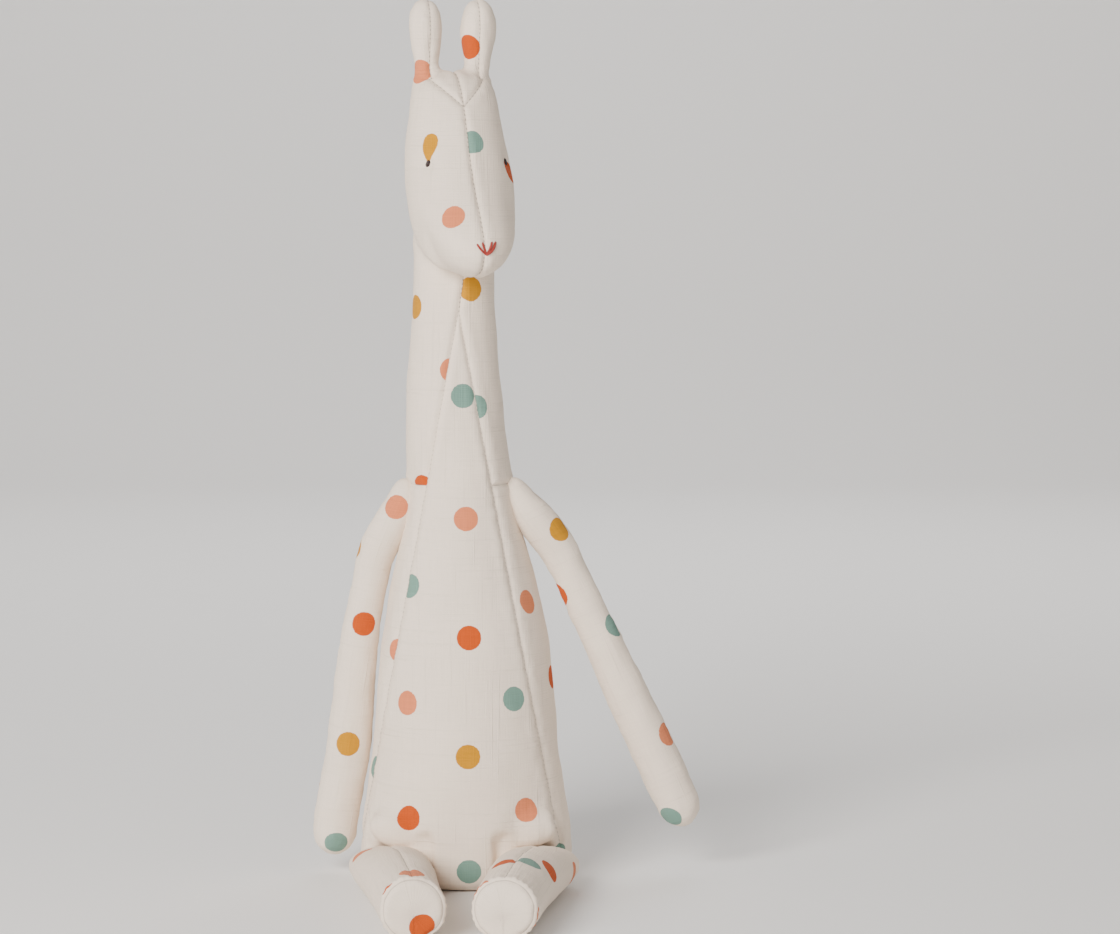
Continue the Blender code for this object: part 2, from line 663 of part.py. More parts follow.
def arm_rings(sign, lean):
    """Rings down one arm, which hangs at its lean or along the body, whichever is wider."""
    start = shoulder(sign)
    middles = []
    sizes = []
    cap = ARM_HAND_RADIUS * 1.1
    for row in range(ARM_ROWS):
        share = row / (ARM_ROWS - 1)
        s = (ARM_LENGTH - ARM_TIP_SHARE * cap) * (1 - (1 - share) ** ARM_ROW_EASE)
        top = min(1.0, s / ARM_TOP_RUN)
        hand = min(1.0, max(0.0, s - ARM_HAND_START) / ARM_HAND_RUN)
        swell = ARM_ROOT_RADIUS + (ARM_TOP_RADIUS - ARM_ROOT_RADIUS) * top
        swell += (ARM_HAND_RADIUS - ARM_TOP_RADIUS) * hand
        tip = max(0.0, (s - (ARM_LENGTH - cap)) / cap)
        size = swell * math.sqrt(max(0.0, 1 - tip**2))
        z = start.z - s * math.cos(lean)
        x, y, half, front, back = body_at(z)
        beside = half + sign * (x - start.x) + ARM_CLEARANCE + swell
        out = s * math.sin(lean)
        out = max(out, beside) if s > ARM_FREE_TOP else out
        middles.append(Vector((start.x + sign * out, start.y, z)))
        sizes.append(size)
    for sweep in range(2):
        eased = [point.copy() for point in middles]
        for i in range(2, len(middles) - 1):
            eased[i].x = (middles[i - 1].x + 2 * middles[i].x + middles[i + 1].x) / 4
            eased[i].x = sign * max(sign * eased[i].x, sign * middles[i].x)
        middles = eased
    rings = []
    for i, (middle, size) in enumerate(zip(middles, sizes)):
        before = middles[max(i - 1, 0)]
        after = middles[min(i + 1, ARM_ROWS - 1)]
        along = (after - before).normalized()
        side = along.cross(Vector((0, 1, 0))).normalized()
        rings.append(ring(middle - start, side, (0, 1, 0), size, size, size, ARM_SIDES))
    down = (middles[-1] - middles[-2]).normalized()
    top = (middles[0] - middles[1]).normalized()
    caps = []
    for share in (0.94, 0.64):
        size = ARM_ROOT_RADIUS * math.sqrt(1 - share**2)
        side = Vector((0, 1, 0)).cross(top).normalized()
        centre = top * ARM_ROOT_RADIUS * share
        caps.append(ring(centre, side, (0, 1, 0), size, size, size, ARM_SIDES))
    return caps + rings, top * ARM_ROOT_RADIUS, middles[-1] - start + down * ARM_TIP_SHARE * cap


def make_arm(side, sign, lean, pivot):
    rings, top, tip = arm_rings(sign, lean)
    for part, facing in (("front", -1), ("back", 1)):
        name = "arm_" + side + "_" + part
        trim = block_behind("trim_" + name, (0, facing * GAP / 2, 0), (0, facing, 0), pivot)
        boolean(linen(add(name, skin_over(rings, top, tip), LINEN, pivot)), trim)
    add("arm_" + side + "_filling", skin_over(rings, top, tip, FABRIC + GAP), FLEECE, pivot)

    x, y, half, front, back = body_at(SHOULDER_Z)
    outside = THREAD_RADIUS + 2 * GAP
    points = []
    for step in range(16):
        angle = 2 * math.pi * step / 16
        z = SHOULDER_Z + SHOULDER_THREAD_RING * math.sin(angle)
        here = body_at(z)
        reach = here[0] + sign * (here[2] + outside)
        points.append((reach, y + SHOULDER_THREAD_RING * math.cos(angle), z))
    thread("shoulder_thread_" + side, points, THREAD_RADIUS, PALE_THREAD, closed=True)


# ================================================================ legs
def leg_rings():
    """Rings along one leg, which lies on the floor and points to -Y from its hip axis."""
    rings = []
    for latitude in (-80, -60, -38, -18):
        angle = math.radians(latitude)
        y = -LEG_ROOT_RADIUS * math.sin(angle)
        height = LEG_ROOT_RADIUS * math.cos(angle)
        width = LEG_ROOT_HALF_WIDTH * (1 - LEG_ROOT_TAPER * (y / LEG_ROOT_RADIUS) ** 4)
        sizes = (width, height, height)
        rings.append(ring((0, y, 0), (1, 0, 0), (0, 0, 1), *sizes, LEG_SIDES, LEG_POWER))
    for row in range(LEG_ROWS + 1):
        share = row / LEG_ROWS
        ease = share * share * (3 - 2 * share)
        width = LEG_ROOT_HALF_WIDTH + (SOLE_RADIUS - LEG_ROOT_HALF_WIDTH) * ease
        rise = min(1.0, share / LEG_SWELL_SHARE)
        height = LEG_ROOT_RADIUS + (SOLE_RADIUS - LEG_ROOT_RADIUS) * math.sin(rise * math.pi / 2)
        centre = (0, -LEG_LENGTH * share, height - LEG_ROOT_RADIUS)
        power = LEG_POWER + (2 - LEG_POWER) * ease
        rings.append(ring(centre, (1, 0, 0), (0, 0, 1), width, height, height, LEG_SIDES, power))
    return rings


def leg_surface(inset=0.0):
    centre_z = SOLE_RADIUS - LEG_ROOT_RADIUS
    front = (0, -LEG_LENGTH, centre_z)
    return skin_over(leg_rings(), (0, LEG_ROOT_RADIUS, 0), front, inset)


def make_leg(side, sign, hip):
    sole_plane = -LEG_LENGTH + FABRIC + GAP
    before_sole = block_behind("trim_sole_" + side, (0, sole_plane, 0), (0, 1, 0), hip)
    for part, facing in (("outer", sign), ("inner", -sign)):
        name = "leg_" + side + "_" + part
        trim = block_behind("trim_" + name, (facing * GAP / 2, 0, 0), (facing, 0, 0), hip)
        panel = linen(add(name, leg_surface(), LINEN, hip))
        boolean(panel, trim)
        boolean(panel, before_sole)
    filling = add("leg_" + side + "_filling", leg_surface(FABRIC + GAP), FLEECE, hip)
    inner_plane = -LEG_LENGTH + FABRIC + 2 * GAP
    before_inner = block_behind("trim_filling_" + side, (0, inner_plane, 0), (0, 1, 0), hip)
    boolean(filling, before_inner)

    centre_z = SOLE_RADIUS - LEG_ROOT_RADIUS
    rings = []
    for share, push in ((1.0, 0.0), (1.0, FABRIC), (0.72, FABRIC + SOLE_DOME * 0.6)):
        size = SOLE_RADIUS * share
        place = (0, -LEG_LENGTH + FABRIC - push, centre_z)
        rings.append(ring(place, (1, 0, 0), (0, 0, 1), size, size, size, LEG_SIDES + 6))
    back = (0, -LEG_LENGTH + FABRIC, centre_z)
    tip = (0, -LEG_LENGTH - SOLE_DOME, centre_z)
    add("leg_" + side + "_sole", skin_over(rings, back, tip), LINEN, hip)


# ================================================================ the whole giraffe
def main():
    clear_scene()
    sides = (("left", 1), ("right", -1))
    x, y, half, front, back = body_at(LEG_ROOT_RADIUS)
    hip_y = y - math.sqrt(1 - (HIP_SPACING / 2 / half) ** 2) * front + HIP_INSET
    hips = {}
    closing = LEG_LENGTH * (math.sin(LEFT_TOE_IN) + math.sin(RIGHT_TOE_IN))
    turn_share = min(1.0, (HIP_SPACING - 2 * SOLE_RADIUS - SOLE_SPACE) / closing)
    for side, sign in sides:
        place = (sign * HIP_SPACING / 2, hip_y, LEG_ROOT_RADIUS)
        toe_in = turn_share * (LEFT_TOE_IN if sign > 0 else RIGHT_TOE_IN)
        hips[side] = empty("hip_" + side, place, -sign * toe_in)
    head = empty("head_pivot", (NECK_X, NECK_Y, NECK_PIVOT_Z), HEAD_TURN)
    ears = {}
    for side, sign in sides:
        place = (sign * EAR_SPACING / 2, EAR_Y, EAR_PIVOT_Z)
        ears[side] = empty("ear_pivot_" + side, place, 0.0, head)
        ears[side].rotation_euler = (0, sign * EAR_LEAN, 0)

    make_body(hips)
    make_head(head, ears)
    for side, sign in sides:
        make_ear(side, sign, ears[side])
        lean = LEFT_ARM_LEAN if sign > 0 else RIGHT_ARM_LEAN
        pivot = empty("shoulder_" + side, shoulder(sign))
        make_arm(side, sign, lean, pivot)
        make_leg(side, sign, hips[side])


main()
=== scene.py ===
"""Looks of the sewn linen giraffe: stuffed cloth, printed dots, seams, floss and thread."""
import json
import math
import random

import bmesh
import bpy
import numpy as np
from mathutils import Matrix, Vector, noise
from mathutils.bvhtree import BVHTree


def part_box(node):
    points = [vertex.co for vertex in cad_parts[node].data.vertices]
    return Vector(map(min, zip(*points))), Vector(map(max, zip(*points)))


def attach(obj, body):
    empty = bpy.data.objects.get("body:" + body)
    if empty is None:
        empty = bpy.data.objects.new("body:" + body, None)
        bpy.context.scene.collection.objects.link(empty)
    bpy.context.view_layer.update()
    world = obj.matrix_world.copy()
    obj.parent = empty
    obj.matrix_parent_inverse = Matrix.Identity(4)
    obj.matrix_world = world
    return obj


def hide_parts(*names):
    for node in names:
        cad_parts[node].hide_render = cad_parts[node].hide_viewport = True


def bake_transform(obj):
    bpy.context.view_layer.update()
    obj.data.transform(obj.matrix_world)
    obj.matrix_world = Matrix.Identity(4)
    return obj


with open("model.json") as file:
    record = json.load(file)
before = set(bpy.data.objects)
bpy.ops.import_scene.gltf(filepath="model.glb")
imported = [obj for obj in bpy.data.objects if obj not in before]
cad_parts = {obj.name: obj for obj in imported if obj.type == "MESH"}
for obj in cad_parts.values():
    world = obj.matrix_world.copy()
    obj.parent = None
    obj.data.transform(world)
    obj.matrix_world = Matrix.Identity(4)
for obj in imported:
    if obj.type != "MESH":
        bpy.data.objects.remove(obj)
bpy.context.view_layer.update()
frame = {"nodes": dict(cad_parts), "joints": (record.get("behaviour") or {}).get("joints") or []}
joints = {joint["name"]: joint for joint in frame["joints"]}

# ---------------------------------------------------------------- where the pattern's seams run
HEAD_PIVOT = np.array(joints["head_nod"]["pos_m"])
HEAD_SIDEWAYS = np.array(joints["head_nod"]["axis"])
HEAD_BACK = np.cross((0, 0, 1), HEAD_SIDEWAYS)
MIDDLE_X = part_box("body_side_left")[0].x
SHOULDER_SEAM_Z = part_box("body_side_left")[1].z
GUSSET_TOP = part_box("belly_gusset")[1].z
GUSSET_HALF = 0.054
SEAT_LOW, SEAT_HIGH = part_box("seat_base")
V_POINT = np.array((0, -0.024, 0.066))
CROWN_BACK = np.array((0, 0.019, 0.070))
EARS_MIDDLE_X = (joints["ear_left_bend"]["pos_m"][0] + joints["ear_right_bend"]["pos_m"][0]) / 2
EAR_CUT_Z = joints["ear_left_bend"]["pos_m"][2] + 0.0068
NECK_END = np.array((0, 0.004, -0.022))      # from the nod hinge: where the neck starts to bend
HEAD_START = np.array((0, -0.008, -0.004))   # and where the bend has become the head
GUSSET_BACK_Y = 0.006
NO_SEAM = 0.05                               # stored where a seam is too far off to matter
SKIN_NODES = ("body_side_left", "body_side_right", "neck_side_left", "neck_side_right",
              "belly_gusset", "seat_base", "body_filling", "neck_filling", "head_side_left",
              "head_side_right", "crown_left", "crown_right", "head_filling")

# ---------------------------------------------------------------- cloth and sewing
FLOOR = 0.0002                # how high the lowest cloth lies
STITCH = 0.0022               # length of one machine stitch
BODY_VOXEL = 0.0024
ARM_VOXEL = 0.0020
LEG_VOXEL = 0.0021
BODY_SWELL = 0.0022           # the furthest that stuffing pushes the cloth out
ARM_SWELL = 0.0012
LEG_SWELL = 0.0010
SEAM_BAND = 0.0034            # how far from a seam the mesh is fine
GROOVE_WIDTH = 0.0011
BODY_GROOVE = 0.00075
BODY_PUCKER = 0.00042
SEAM_SHOULDER = 0.00035       # rise of the cloth beside a groove
EAR_GROOVE_SHARE = 0.55
EYE_DIMPLE = 0.0016
EYE_DIMPLE_WIDTH = 0.0042
STITCH_STRETCH = 1.03
STITCH_ACROSS = 0.35          # share of sideways travel that counts along a seam

# ---------------------------------------------------------------- shape of the stuffed cloth
NECK_BALL = 0.0208            # fills the gap at the nod hinge
EAR_BALL_LOW = 0.0080         # fill the gap at each ear's root
EAR_BALL_HIGH = 0.0060
BELLY_FOLD = (0.0168, 0.0102, 0.0105)        # belly that hangs over each leg's root
BELLY_FOLD_IN = 0.0070
BELLY_FOLD_UP = 0.0195
CROTCH_FOLD = (0.0068, 0.0078, 0.0135)       # belly between each leg's root and the middle
CROTCH_FOLD_IN = 0.0172
CROTCH_FOLD_AHEAD = 0.0030
CROTCH_FOLD_UP = 0.0075
FOLD_ROUNDS = 24
EAR_RISE = 1.07
EAR_WIDTHS = ((-0.15, 0.08, 0.55, 0.85, 1.0), (1.0, 0.90, 1.07, 1.06, 0.96))
CHIN_RISE = 0.0045
ARM_ROOT_IN = 0.0085          # how far the arm's sewn top leans to the neck
ARM_ROOT_AHEAD = 0.0055
ARM_ROOT_RUN = 0.040
ARM_BULGE = 0.0019
ARM_BULGE_AT = 0.017
ARM_BULGE_RUN = 0.018
ARM_TUBE = 0.0105             # radii that lay the weave round the limbs
LEG_TUBE = 0.0165
SOLE_EDGE = 0.0030            # depth of the sole with its sewn ring
RING_BEHIND = 0.0022
RING_IN = 0.0012
GATHER_COUNT = 26             # small pleats round a sole
GATHER_HEIGHT = 0.00036
GATHER_RUN = 0.0075
RING_HEIGHT = 0.0006

# ---------------------------------------------------------------- view from the front
CAMERA_DISTANCE = 1.6
CAMERA_ELEVATION = math.radians(5)
AIM = Vector((0.0475, 0, 0.2060))
VIEW_WIDTH = 0.56
SIGHT_LEVEL = 0.2125
VIEW_BACK = Vector((0, -math.cos(CAMERA_ELEVATION), math.sin(CAMERA_ELEVATION)))
VIEW_UP = Vector((0, math.sin(CAMERA_ELEVATION), math.cos(CAMERA_ELEVATION)))

# ---------------------------------------------------------------- room
ROOM_WIDTH = 6.4
ROOM_HEIGHT = 2.0
ROOM_CURVE = 1.1

# ---------------------------------------------------------------- print
ORANGE = (184, 71, 0)
MUSTARD = (185, 127, 0)
PEACH = (208, 120, 80)
TEAL = (106, 140, 128)
LINEN = (235, 219, 202)
# painted shade: the dark colour laid along the seam grooves and into the needle holes
SEAM_PAINTED_SHADE = (96, 82, 70)
DOT = 0.0061                  # radius of a printed dot
DOT_TRIES = 2600
BODY_DOT_SPACE = 0.034
ARM_DOT_SPACE = 0.030
LEG_DOT_SPACE = 0.034


def linear(colour, lift=1.0):
    """Screen colour to the shader's linear colour."""
    values = []
    for value in colour:
        share = value / 255
        flat = share / 12.92 if share <= 0.04045 else ((share + 0.055) / 1.055) ** 2.4
        values.append(min(1.0, flat * lift))
    return (*values, 1.0)


# ================================================================ mesh helpers
def only(obj):
    bpy.ops.object.select_all(action="DESELECT")
    obj.select_set(True)
    bpy.context.view_layer.objects.active = obj


def apply_all(obj):
    only(obj)
    for step in list(obj.modifiers):
        bpy.ops.object.modifier_apply(modifier=step.name)


def places(obj):
    flat = np.empty(len(obj.data.vertices) * 3, np.float32)
    obj.data.vertices.foreach_get("co", flat)
    return flat.reshape(-1, 3).astype(float)


def normals(obj):
    flat = np.empty(len(obj.data.vertices) * 3, np.float32)
    obj.data.vertices.foreach_get("normal", flat)
    return flat.reshape(-1, 3).astype(float)


def put(obj, points):
    obj.data.vertices.foreach_set("co", points.astype(np.float32).ravel())
    obj.data.update()


def store(obj, name, values, kind):
    field = {"FLOAT": "value", "FLOAT_VECTOR": "vector", "FLOAT_COLOR": "color"}[kind]
    attribute = obj.data.attributes.get(name) or obj.data.attributes.new(name, kind, "POINT")
    attribute.data.foreach_set(field, np.asarray(values, np.float32).ravel())


def bump_field(points, size, seed):
    """Smooth random values from -1 to 1, with lumps of one size."""
    shift = Vector((seed * 3.1, seed * 1.7, seed * 2.3))
    return np.array([noise.noise(Vector(p) / size + shift) for p in points])


def cad_copy(name, nodes, balls=()):
    """One mesh from copies of CAD nodes, merged, with round bridges over the joints."""
    mesh = bmesh.new()
    for node in nodes:
        mesh.from_mesh(frame["nodes"][node].data)
    bmesh.ops.remove_doubles(mesh, verts=mesh.verts, dist=1e-6)
    for centre, sizes in balls:
        made = bmesh.ops.create_uvsphere(mesh, u_segments=24, v_segments=16, radius=1.0)
        bmesh.ops.scale(mesh, vec=sizes, verts=made["verts"])
        bmesh.ops.translate(mesh, vec=centre, verts=made["verts"])
    data = bpy.data.meshes.new(name)
    mesh.to_mesh(data)
    mesh.free()
    obj = bpy.data.objects.new(name, data)
    bpy.context.collection.objects.link(obj)
    return obj


def remesh(obj, size, rounds):
    step = obj.modifiers.new("voxels", "REMESH")
    step.mode = "VOXEL"
    step.voxel_size = size
    apply_all(obj)
    keep_outer(obj)
    even_out(obj, rounds)


def even_out(obj, rounds, chosen=None, shrink=-0.53):
    """Smooths the cloth; the second, outward half of each round keeps its size."""
    pairs = np.empty(len(obj.data.edges) * 2, np.int32)
    obj.data.edges.foreach_get("vertices", pairs)
    pairs = pairs.reshape(-1, 2)
    points = places(obj)
    count = np.bincount(pairs.ravel(), minlength=len(points))[:, None]
    share = np.ones((len(points), 1)) if chosen is None else chosen[:, None]
    for _ in range(rounds):
        for factor in (0.5, shrink):
            total = np.zeros_like(points)
            for axis in range(3):
                total[:, axis] += np.bincount(pairs[:, 0], points[pairs[:, 1], axis], len(points))
                total[:, axis] += np.bincount(pairs[:, 1], points[pairs[:, 0], axis], len(points))
            points += factor * share * (total / count - points)
    put(obj, points)


def keep_outer(obj):
    """Deletes the small closed pockets that remeshing leaves between cloth and filling."""
    mesh = bmesh.new()
    mesh.from_mesh(obj.data)
    mesh.verts.ensure_lookup_table()
    left = set(mesh.verts)
    groups = []
    while left:
        start = left.pop()
        group = [start]
        stack = [start]
        while stack:
            for edge in stack.pop().link_edges:
                for vert in edge.verts:
                    if vert in left:
                        left.discard(vert)
                        group.append(vert)
                        stack.append(vert)
        groups.append(group)
    groups.sort(key=len)
    for group in groups[:-1]:
        bmesh.ops.delete(mesh, geom=group, context="VERTS")
    mesh.to_mesh(obj.data)
    mesh.free()


def stuff(obj, cap, pressure=4.0):
    """Fills the cloth: a pressure simulation, with how far a point may move capped."""
    before = places(obj)
    step = obj.modifiers.new("stuffing", "CLOTH")
    step.settings.use_pressure = True
    step.settings.uniform_pressure_force = pressure
    step.settings.effector_weights.gravity = 0
    step.settings.quality = 4
    step.collision_settings.use_collision = False
    for number in range(1, 21):
        bpy.context.scene.frame_set(number)
    seen = obj.evaluated_get(bpy.context.evaluated_depsgraph_get())
    flat = np.empty(len(seen.data.vertices) * 3, np.float32)
    seen.data.vertices.foreach_get("co", flat)
    after = flat.reshape(-1, 3).astype(float)
    obj.modifiers.remove(step)
    bpy.context.scene.frame_set(1)
    move = after - before
    far = np.linalg.norm(move, axis=1, keepdims=True)
    move *= np.minimum(1.0, cap / np.maximum(far, 1e-9))
    put(obj, before + move)


def subdivide(obj, levels=1):
    step = obj.modifiers.new("finer", "SUBSURF")
    step.levels = levels
    step.render_levels = levels
    apply_all(obj)


def refine(obj, near):
    """Splits the faces along the seams once more, so grooves and puckers are crisp."""
    mesh = bmesh.new()
    mesh.from_mesh(obj.data)
    mesh.verts.ensure_lookup_table()
    edges = [e for e in mesh.edges if near[e.verts[0].index] and near[e.verts[1].index]]
    bmesh.ops.subdivide_edges(mesh, edges=edges, cuts=1, use_grid_fill=True)
    mesh.to_mesh(obj.data)
    mesh.free()


def tree_of(obj):
    mesh = bmesh.new()
    mesh.from_mesh(obj.data)
    tree = BVHTree.FromBMesh(mesh)
    mesh.free()
    return tree


# ================================================================ materials
class Nodes:
    """Short calls for wiring a material."""

    def __init__(self, name):
        self.material = bpy.data.materials.new(name)
        self.material.use_nodes = True
        self.tree = self.material.node_tree
        self.shader = self.tree.nodes["Principled BSDF"]

    def wire(self, source, target):
        if isinstance(source, bpy.types.NodeSocket):
            self.tree.links.new(source, target)
        else:
            target.default_value = source

    def math(self, operation, first, second=0.0, third=None, clamp=False):
        node = self.tree.nodes.new("ShaderNodeMath")
        node.operation = operation
        node.use_clamp = clamp
        self.wire(first, node.inputs[0])
        self.wire(second, node.inputs[1])
        if third is not None:
            self.wire(third, node.inputs[2])
        return node.outputs[0]

    def attribute(self, name, output="Vector"):
        node = self.tree.nodes.new("ShaderNodeAttribute")
        node.attribute_name = name
        return node.outputs[output]

    def split(self, vector):
        node = self.tree.nodes.new("ShaderNodeSeparateXYZ")
        self.wire(vector, node.inputs[0])
        return node.outputs

    def scaled(self, vector, scale):
        node = self.tree.nodes.new("ShaderNodeVectorMath")
        node.operation = "MULTIPLY"
        self.wire(vector, node.inputs[0])
        node.inputs[1].default_value = scale
        return node.outputs[0]

    def noise(self, vector, scale=1.0, detail=2.0, rough=0.5):
        node = self.tree.nodes.new("ShaderNodeTexNoise")
        self.wire(vector, node.inputs["Vector"])
        node.inputs["Scale"].default_value = scale
        node.inputs["Detail"].default_value = detail
        node.inputs["Roughness"].default_value = rough
        return node.outputs["Fac"]

    def ramp(self, value, low, high, start=0.0, end=1.0):
        node = self.tree.nodes.new("ShaderNodeMapRange")
        node.interpolation_type = "SMOOTHSTEP"
        self.wire(value, node.inputs["Value"])
        node.inputs["From Min"].default_value = low
        node.inputs["From Max"].default_value = high
        node.inputs["To Min"].default_value = start
        node.inputs["To Max"].default_value = end
        return node.outputs["Result"]

    def mix(self, share, first, second, blend="MIX"):
        node = self.tree.nodes.new("ShaderNodeMix")
        node.data_type = "RGBA"
        node.blend_type = blend
        self.wire(share, node.inputs[0])
        self.wire(first, node.inputs[6])
        self.wire(second, node.inputs[7])
        return node.outputs[2]

    def shaded(self, colour, value):
        """A colour times one value."""
        grey = self.tree.nodes.new("ShaderNodeCombineXYZ")
        for socket in grey.inputs:
            self.wire(value, socket)
        return self.mix(1.0, colour, grey.outputs[0], "MULTIPLY")

    def bump(self, height, distance, strength=1.0):
        node = self.tree.nodes.new("ShaderNodeBump")
        node.inputs["Distance"].default_value = distance
        node.inputs["Strength"].default_value = strength
        self.wire(height, node.inputs["Height"])
        self.wire(node.outputs[0], self.shader.inputs["Normal"])


def linen_material(name, tint):
    """Printed linen: threads and slubs both ways, dots, and painted shade along each seam's groove,
    darkest in dashes at the needle holes.
    """
    make = Nodes(name)
    cloth = make.attribute("cloth")
    warp = make.noise(make.scaled(cloth, (1500, 60, 60)), detail=2)
    weft = make.noise(make.scaled(cloth, (60, 1500, 60)), detail=2)
    slub_up = make.ramp(make.noise(make.scaled(cloth, (620, 16, 16)), detail=1), 0.60, 0.74)
    slub_over = make.ramp(make.noise(make.scaled(cloth, (16, 620, 16)), detail=1), 0.60, 0.74)
    slubs = make.math("MAXIMUM", slub_up, slub_over)
    weave = make.math("ADD", warp, weft)
    cloudy = make.noise(make.scaled(cloth, (30, 30, 30)), detail=3)

    shade = make.math("MULTIPLY_ADD", weave, 0.10, 0.90)
    shade = make.math("MULTIPLY_ADD", slubs, -0.035, shade)
    shade = make.math("MULTIPLY_ADD", cloudy, 0.05, shade)
    ground = make.shaded(linear(tint), shade)

    rough_edge = make.math("MULTIPLY_ADD", weave, 0.0006, -0.0006)
    edge = make.math("ADD", make.attribute("print", "Fac"), rough_edge)
    inked = make.ramp(edge, -0.00012, 0.00018)
    worn = make.math("MULTIPLY_ADD", weave, 0.24, 0.78)
    worn = make.math("MULTIPLY_ADD", slubs, 0.06, worn)
    ink = make.shaded(make.attribute("print_colour", "Color"), worn)
    cover = make.math("MULTIPLY", inked, 0.99)
    colour = make.mix(cover, ground, ink)

    # painted shade along the seams: strongest on the seam line, less on the gusset seams
    line = 0.0
    for socket, weight in zip(make.split(make.attribute("seams")), (1.0, 0.50, 0.80)):
        near = make.ramp(make.math("ABSOLUTE", socket), 0.00006, 0.00042, weight, 0.0)
        line = make.math("MAXIMUM", near, line)
    step = make.math("FRACT", make.math("DIVIDE", make.attribute("along", "Fac"), STITCH))
    from_hole = make.math("ABSOLUTE", make.math("SUBTRACT", step, 0.5))
    hole = make.ramp(from_hole, 0.14, 0.24, 1.0, 0.0)
    # how much painted seam shade is mixed in, darkest in dashes where the needle holes are
    dark = make.math("MULTIPLY", line, make.math("MULTIPLY_ADD", hole, 0.46, 0.30))
    colour = make.mix(dark, colour, linear(SEAM_PAINTED_SHADE))
    make.wire(colour, make.shader.inputs["Base Color"])
    make.shader.inputs["Roughness"].default_value = 0.93
    make.shader.inputs["Sheen Weight"].default_value = 0.05
    make.shader.inputs["Sheen Roughness"].default_value = 0.6
    make.shader.inputs["Specular IOR Level"].default_value = 0.18

    height = make.math("MULTIPLY_ADD", slubs, 0.55, weave)
    height = make.math("MULTIPLY_ADD", make.math("MULTIPLY", line, hole), -0.9, height)
    make.bump(height, 0.00028, 0.75)
    return make.material


def floss_material(name, tint, sheen=0.3):
    """Stranded cotton: fine twisted filaments with a soft shine."""
    make = Nodes(name)
    where = make.tree.nodes.new("ShaderNodeTexCoord").outputs["Object"]
    fine = make.noise(make.scaled(where, (2600, 2600, 900)), detail=2)
    colour = make.mix(fine, linear(tint, 0.55), linear(tint, 1.35))
    make.wire(colour, make.shader.inputs["Base Color"])
    make.shader.inputs["Roughness"].default_value = 0.62
    make.shader.inputs["Sheen Weight"].default_value = sheen
    make.bump(fine, 0.00020, 0.8)
    return make.material


def calico_material():
    """Plain coarse cotton of the pellet pouch."""
    make = Nodes("pouch_calico")
    where = make.tree.nodes.new("ShaderNodeTexCoord").outputs["Object"]
    over = make.noise(make.scaled(where, (1300, 80, 80)), detail=2)
    up = make.noise(make.scaled(where, (80, 1300, 1300)), detail=2)
    weave = make.math("ADD", over, up)
    colour = make.mix(weave, linear((196, 180, 150)), linear((222, 208, 182)))
    make.wire(colour, make.shader.inputs["Base Color"])
    make.shader.inputs["Roughness"].default_value = 0.95
    make.bump(weave, 0.0003, 0.7)
    return make.material


# ================================================================ seams of the body and head
def head_local(points):
    """Places as sideways, back and up from the nod hinge, turned with the head."""
    away = points - HEAD_PIVOT
    return np.stack((away @ HEAD_SIDEWAYS, away @ HEAD_BACK, away[:, 2]), axis=1)


def eased(values, low, high):
    """0 below low, 1 above high, and smooth between."""
    share = np.clip((values - low) / (high - low), 0, 1)
    return share * share * (3 - 2 * share)


def body_seams(points):
    """Signed distances to three sets of seams: middle, gusset, and seat, shoulder or crown."""
    head = head_local(points)
    along = (points - HEAD_PIVOT - NECK_END) @ (HEAD_START - NECK_END)
    up = eased(along / np.dot(HEAD_START - NECK_END, HEAD_START - NECK_END), 0, 1)
    middle = (1 - up) * (points[:, 0] - MIDDLE_X) + up * head[:, 0]
    half = GUSSET_HALF * (1 - points[:, 2] / GUSSET_TOP)
    gusset = (half - np.abs(points[:, 0] - MIDDLE_X)) * 0.983
    gusset = np.where(points[:, 1] > GUSSET_BACK_Y, -np.abs(gusset) - NO_SEAM, gusset)
    gusset = np.where(points[:, 2] > GUSSET_TOP + 0.004, -NO_SEAM, gusset)
    inside = np.maximum(gusset, 0)
    middle = np.where(middle < 0, middle - 20 * inside, middle + 20 * inside)

    crown = np.full(len(points), -NO_SEAM)
    for ear, sign in (("ear_left_bend", 1), ("ear_right_bend", -1)):
        root = head_local(np.array([joints[ear]["pos_m"]]))[0]
        facing = np.cross(CROWN_BACK - V_POINT, root - V_POINT) * -sign
        facing /= np.linalg.norm(facing)
        above = (head - V_POINT) @ facing
        ear_plane = abs(root[0]) - sign * head[:, 0]
        high = head[:, 2] > root[2] + 0.0005
        above = np.where(high, ear_plane, above)
        mine = sign * head[:, 0] > 0
        crown = np.where(mine & (head[:, 2] > 0.03), above, crown)

    centre = (SEAT_LOW + SEAT_HIGH) / 2
    wide = (SEAT_HIGH - SEAT_LOW) / 2
    oval = np.hypot((points[:, 0] - centre.x) / wide.x, (points[:, 1] - centre.y) / wide.y)
    seat = np.where(points[:, 2] < 0.005, (1 - oval) * wide.y, -NO_SEAM)
    low = points[:, 2] < 0.1
    shoulder = np.where(gusset > 0, -NO_SEAM, points[:, 2] - SHOULDER_SEAM_Z)
    third = np.where(low, seat, crown)
    third = np.where(~low & (points[:, 2] < HEAD_PIVOT[2] - 0.010), shoulder, third)
    middle = np.where(low & (seat > 0), np.sign(middle) * NO_SEAM, middle)
    gusset = np.where(low & (seat > 0), -NO_SEAM, gusset)
    return np.stack((middle, gusset, third), axis=1)


def panel_side(seams, panel):
    """How far inside a named panel each point is."""
    middle, gusset, third = seams[:, 0], seams[:, 1], seams[:, 2]
    if panel == "gusset":
        return gusset
    side = np.minimum(middle if panel.endswith("left") else -middle, -gusset)
    sewn = third > -NO_SEAM + 0.001
    above = third if panel.startswith("neck") else -third
    return np.minimum(side, np.where(sewn, above, 1.0))


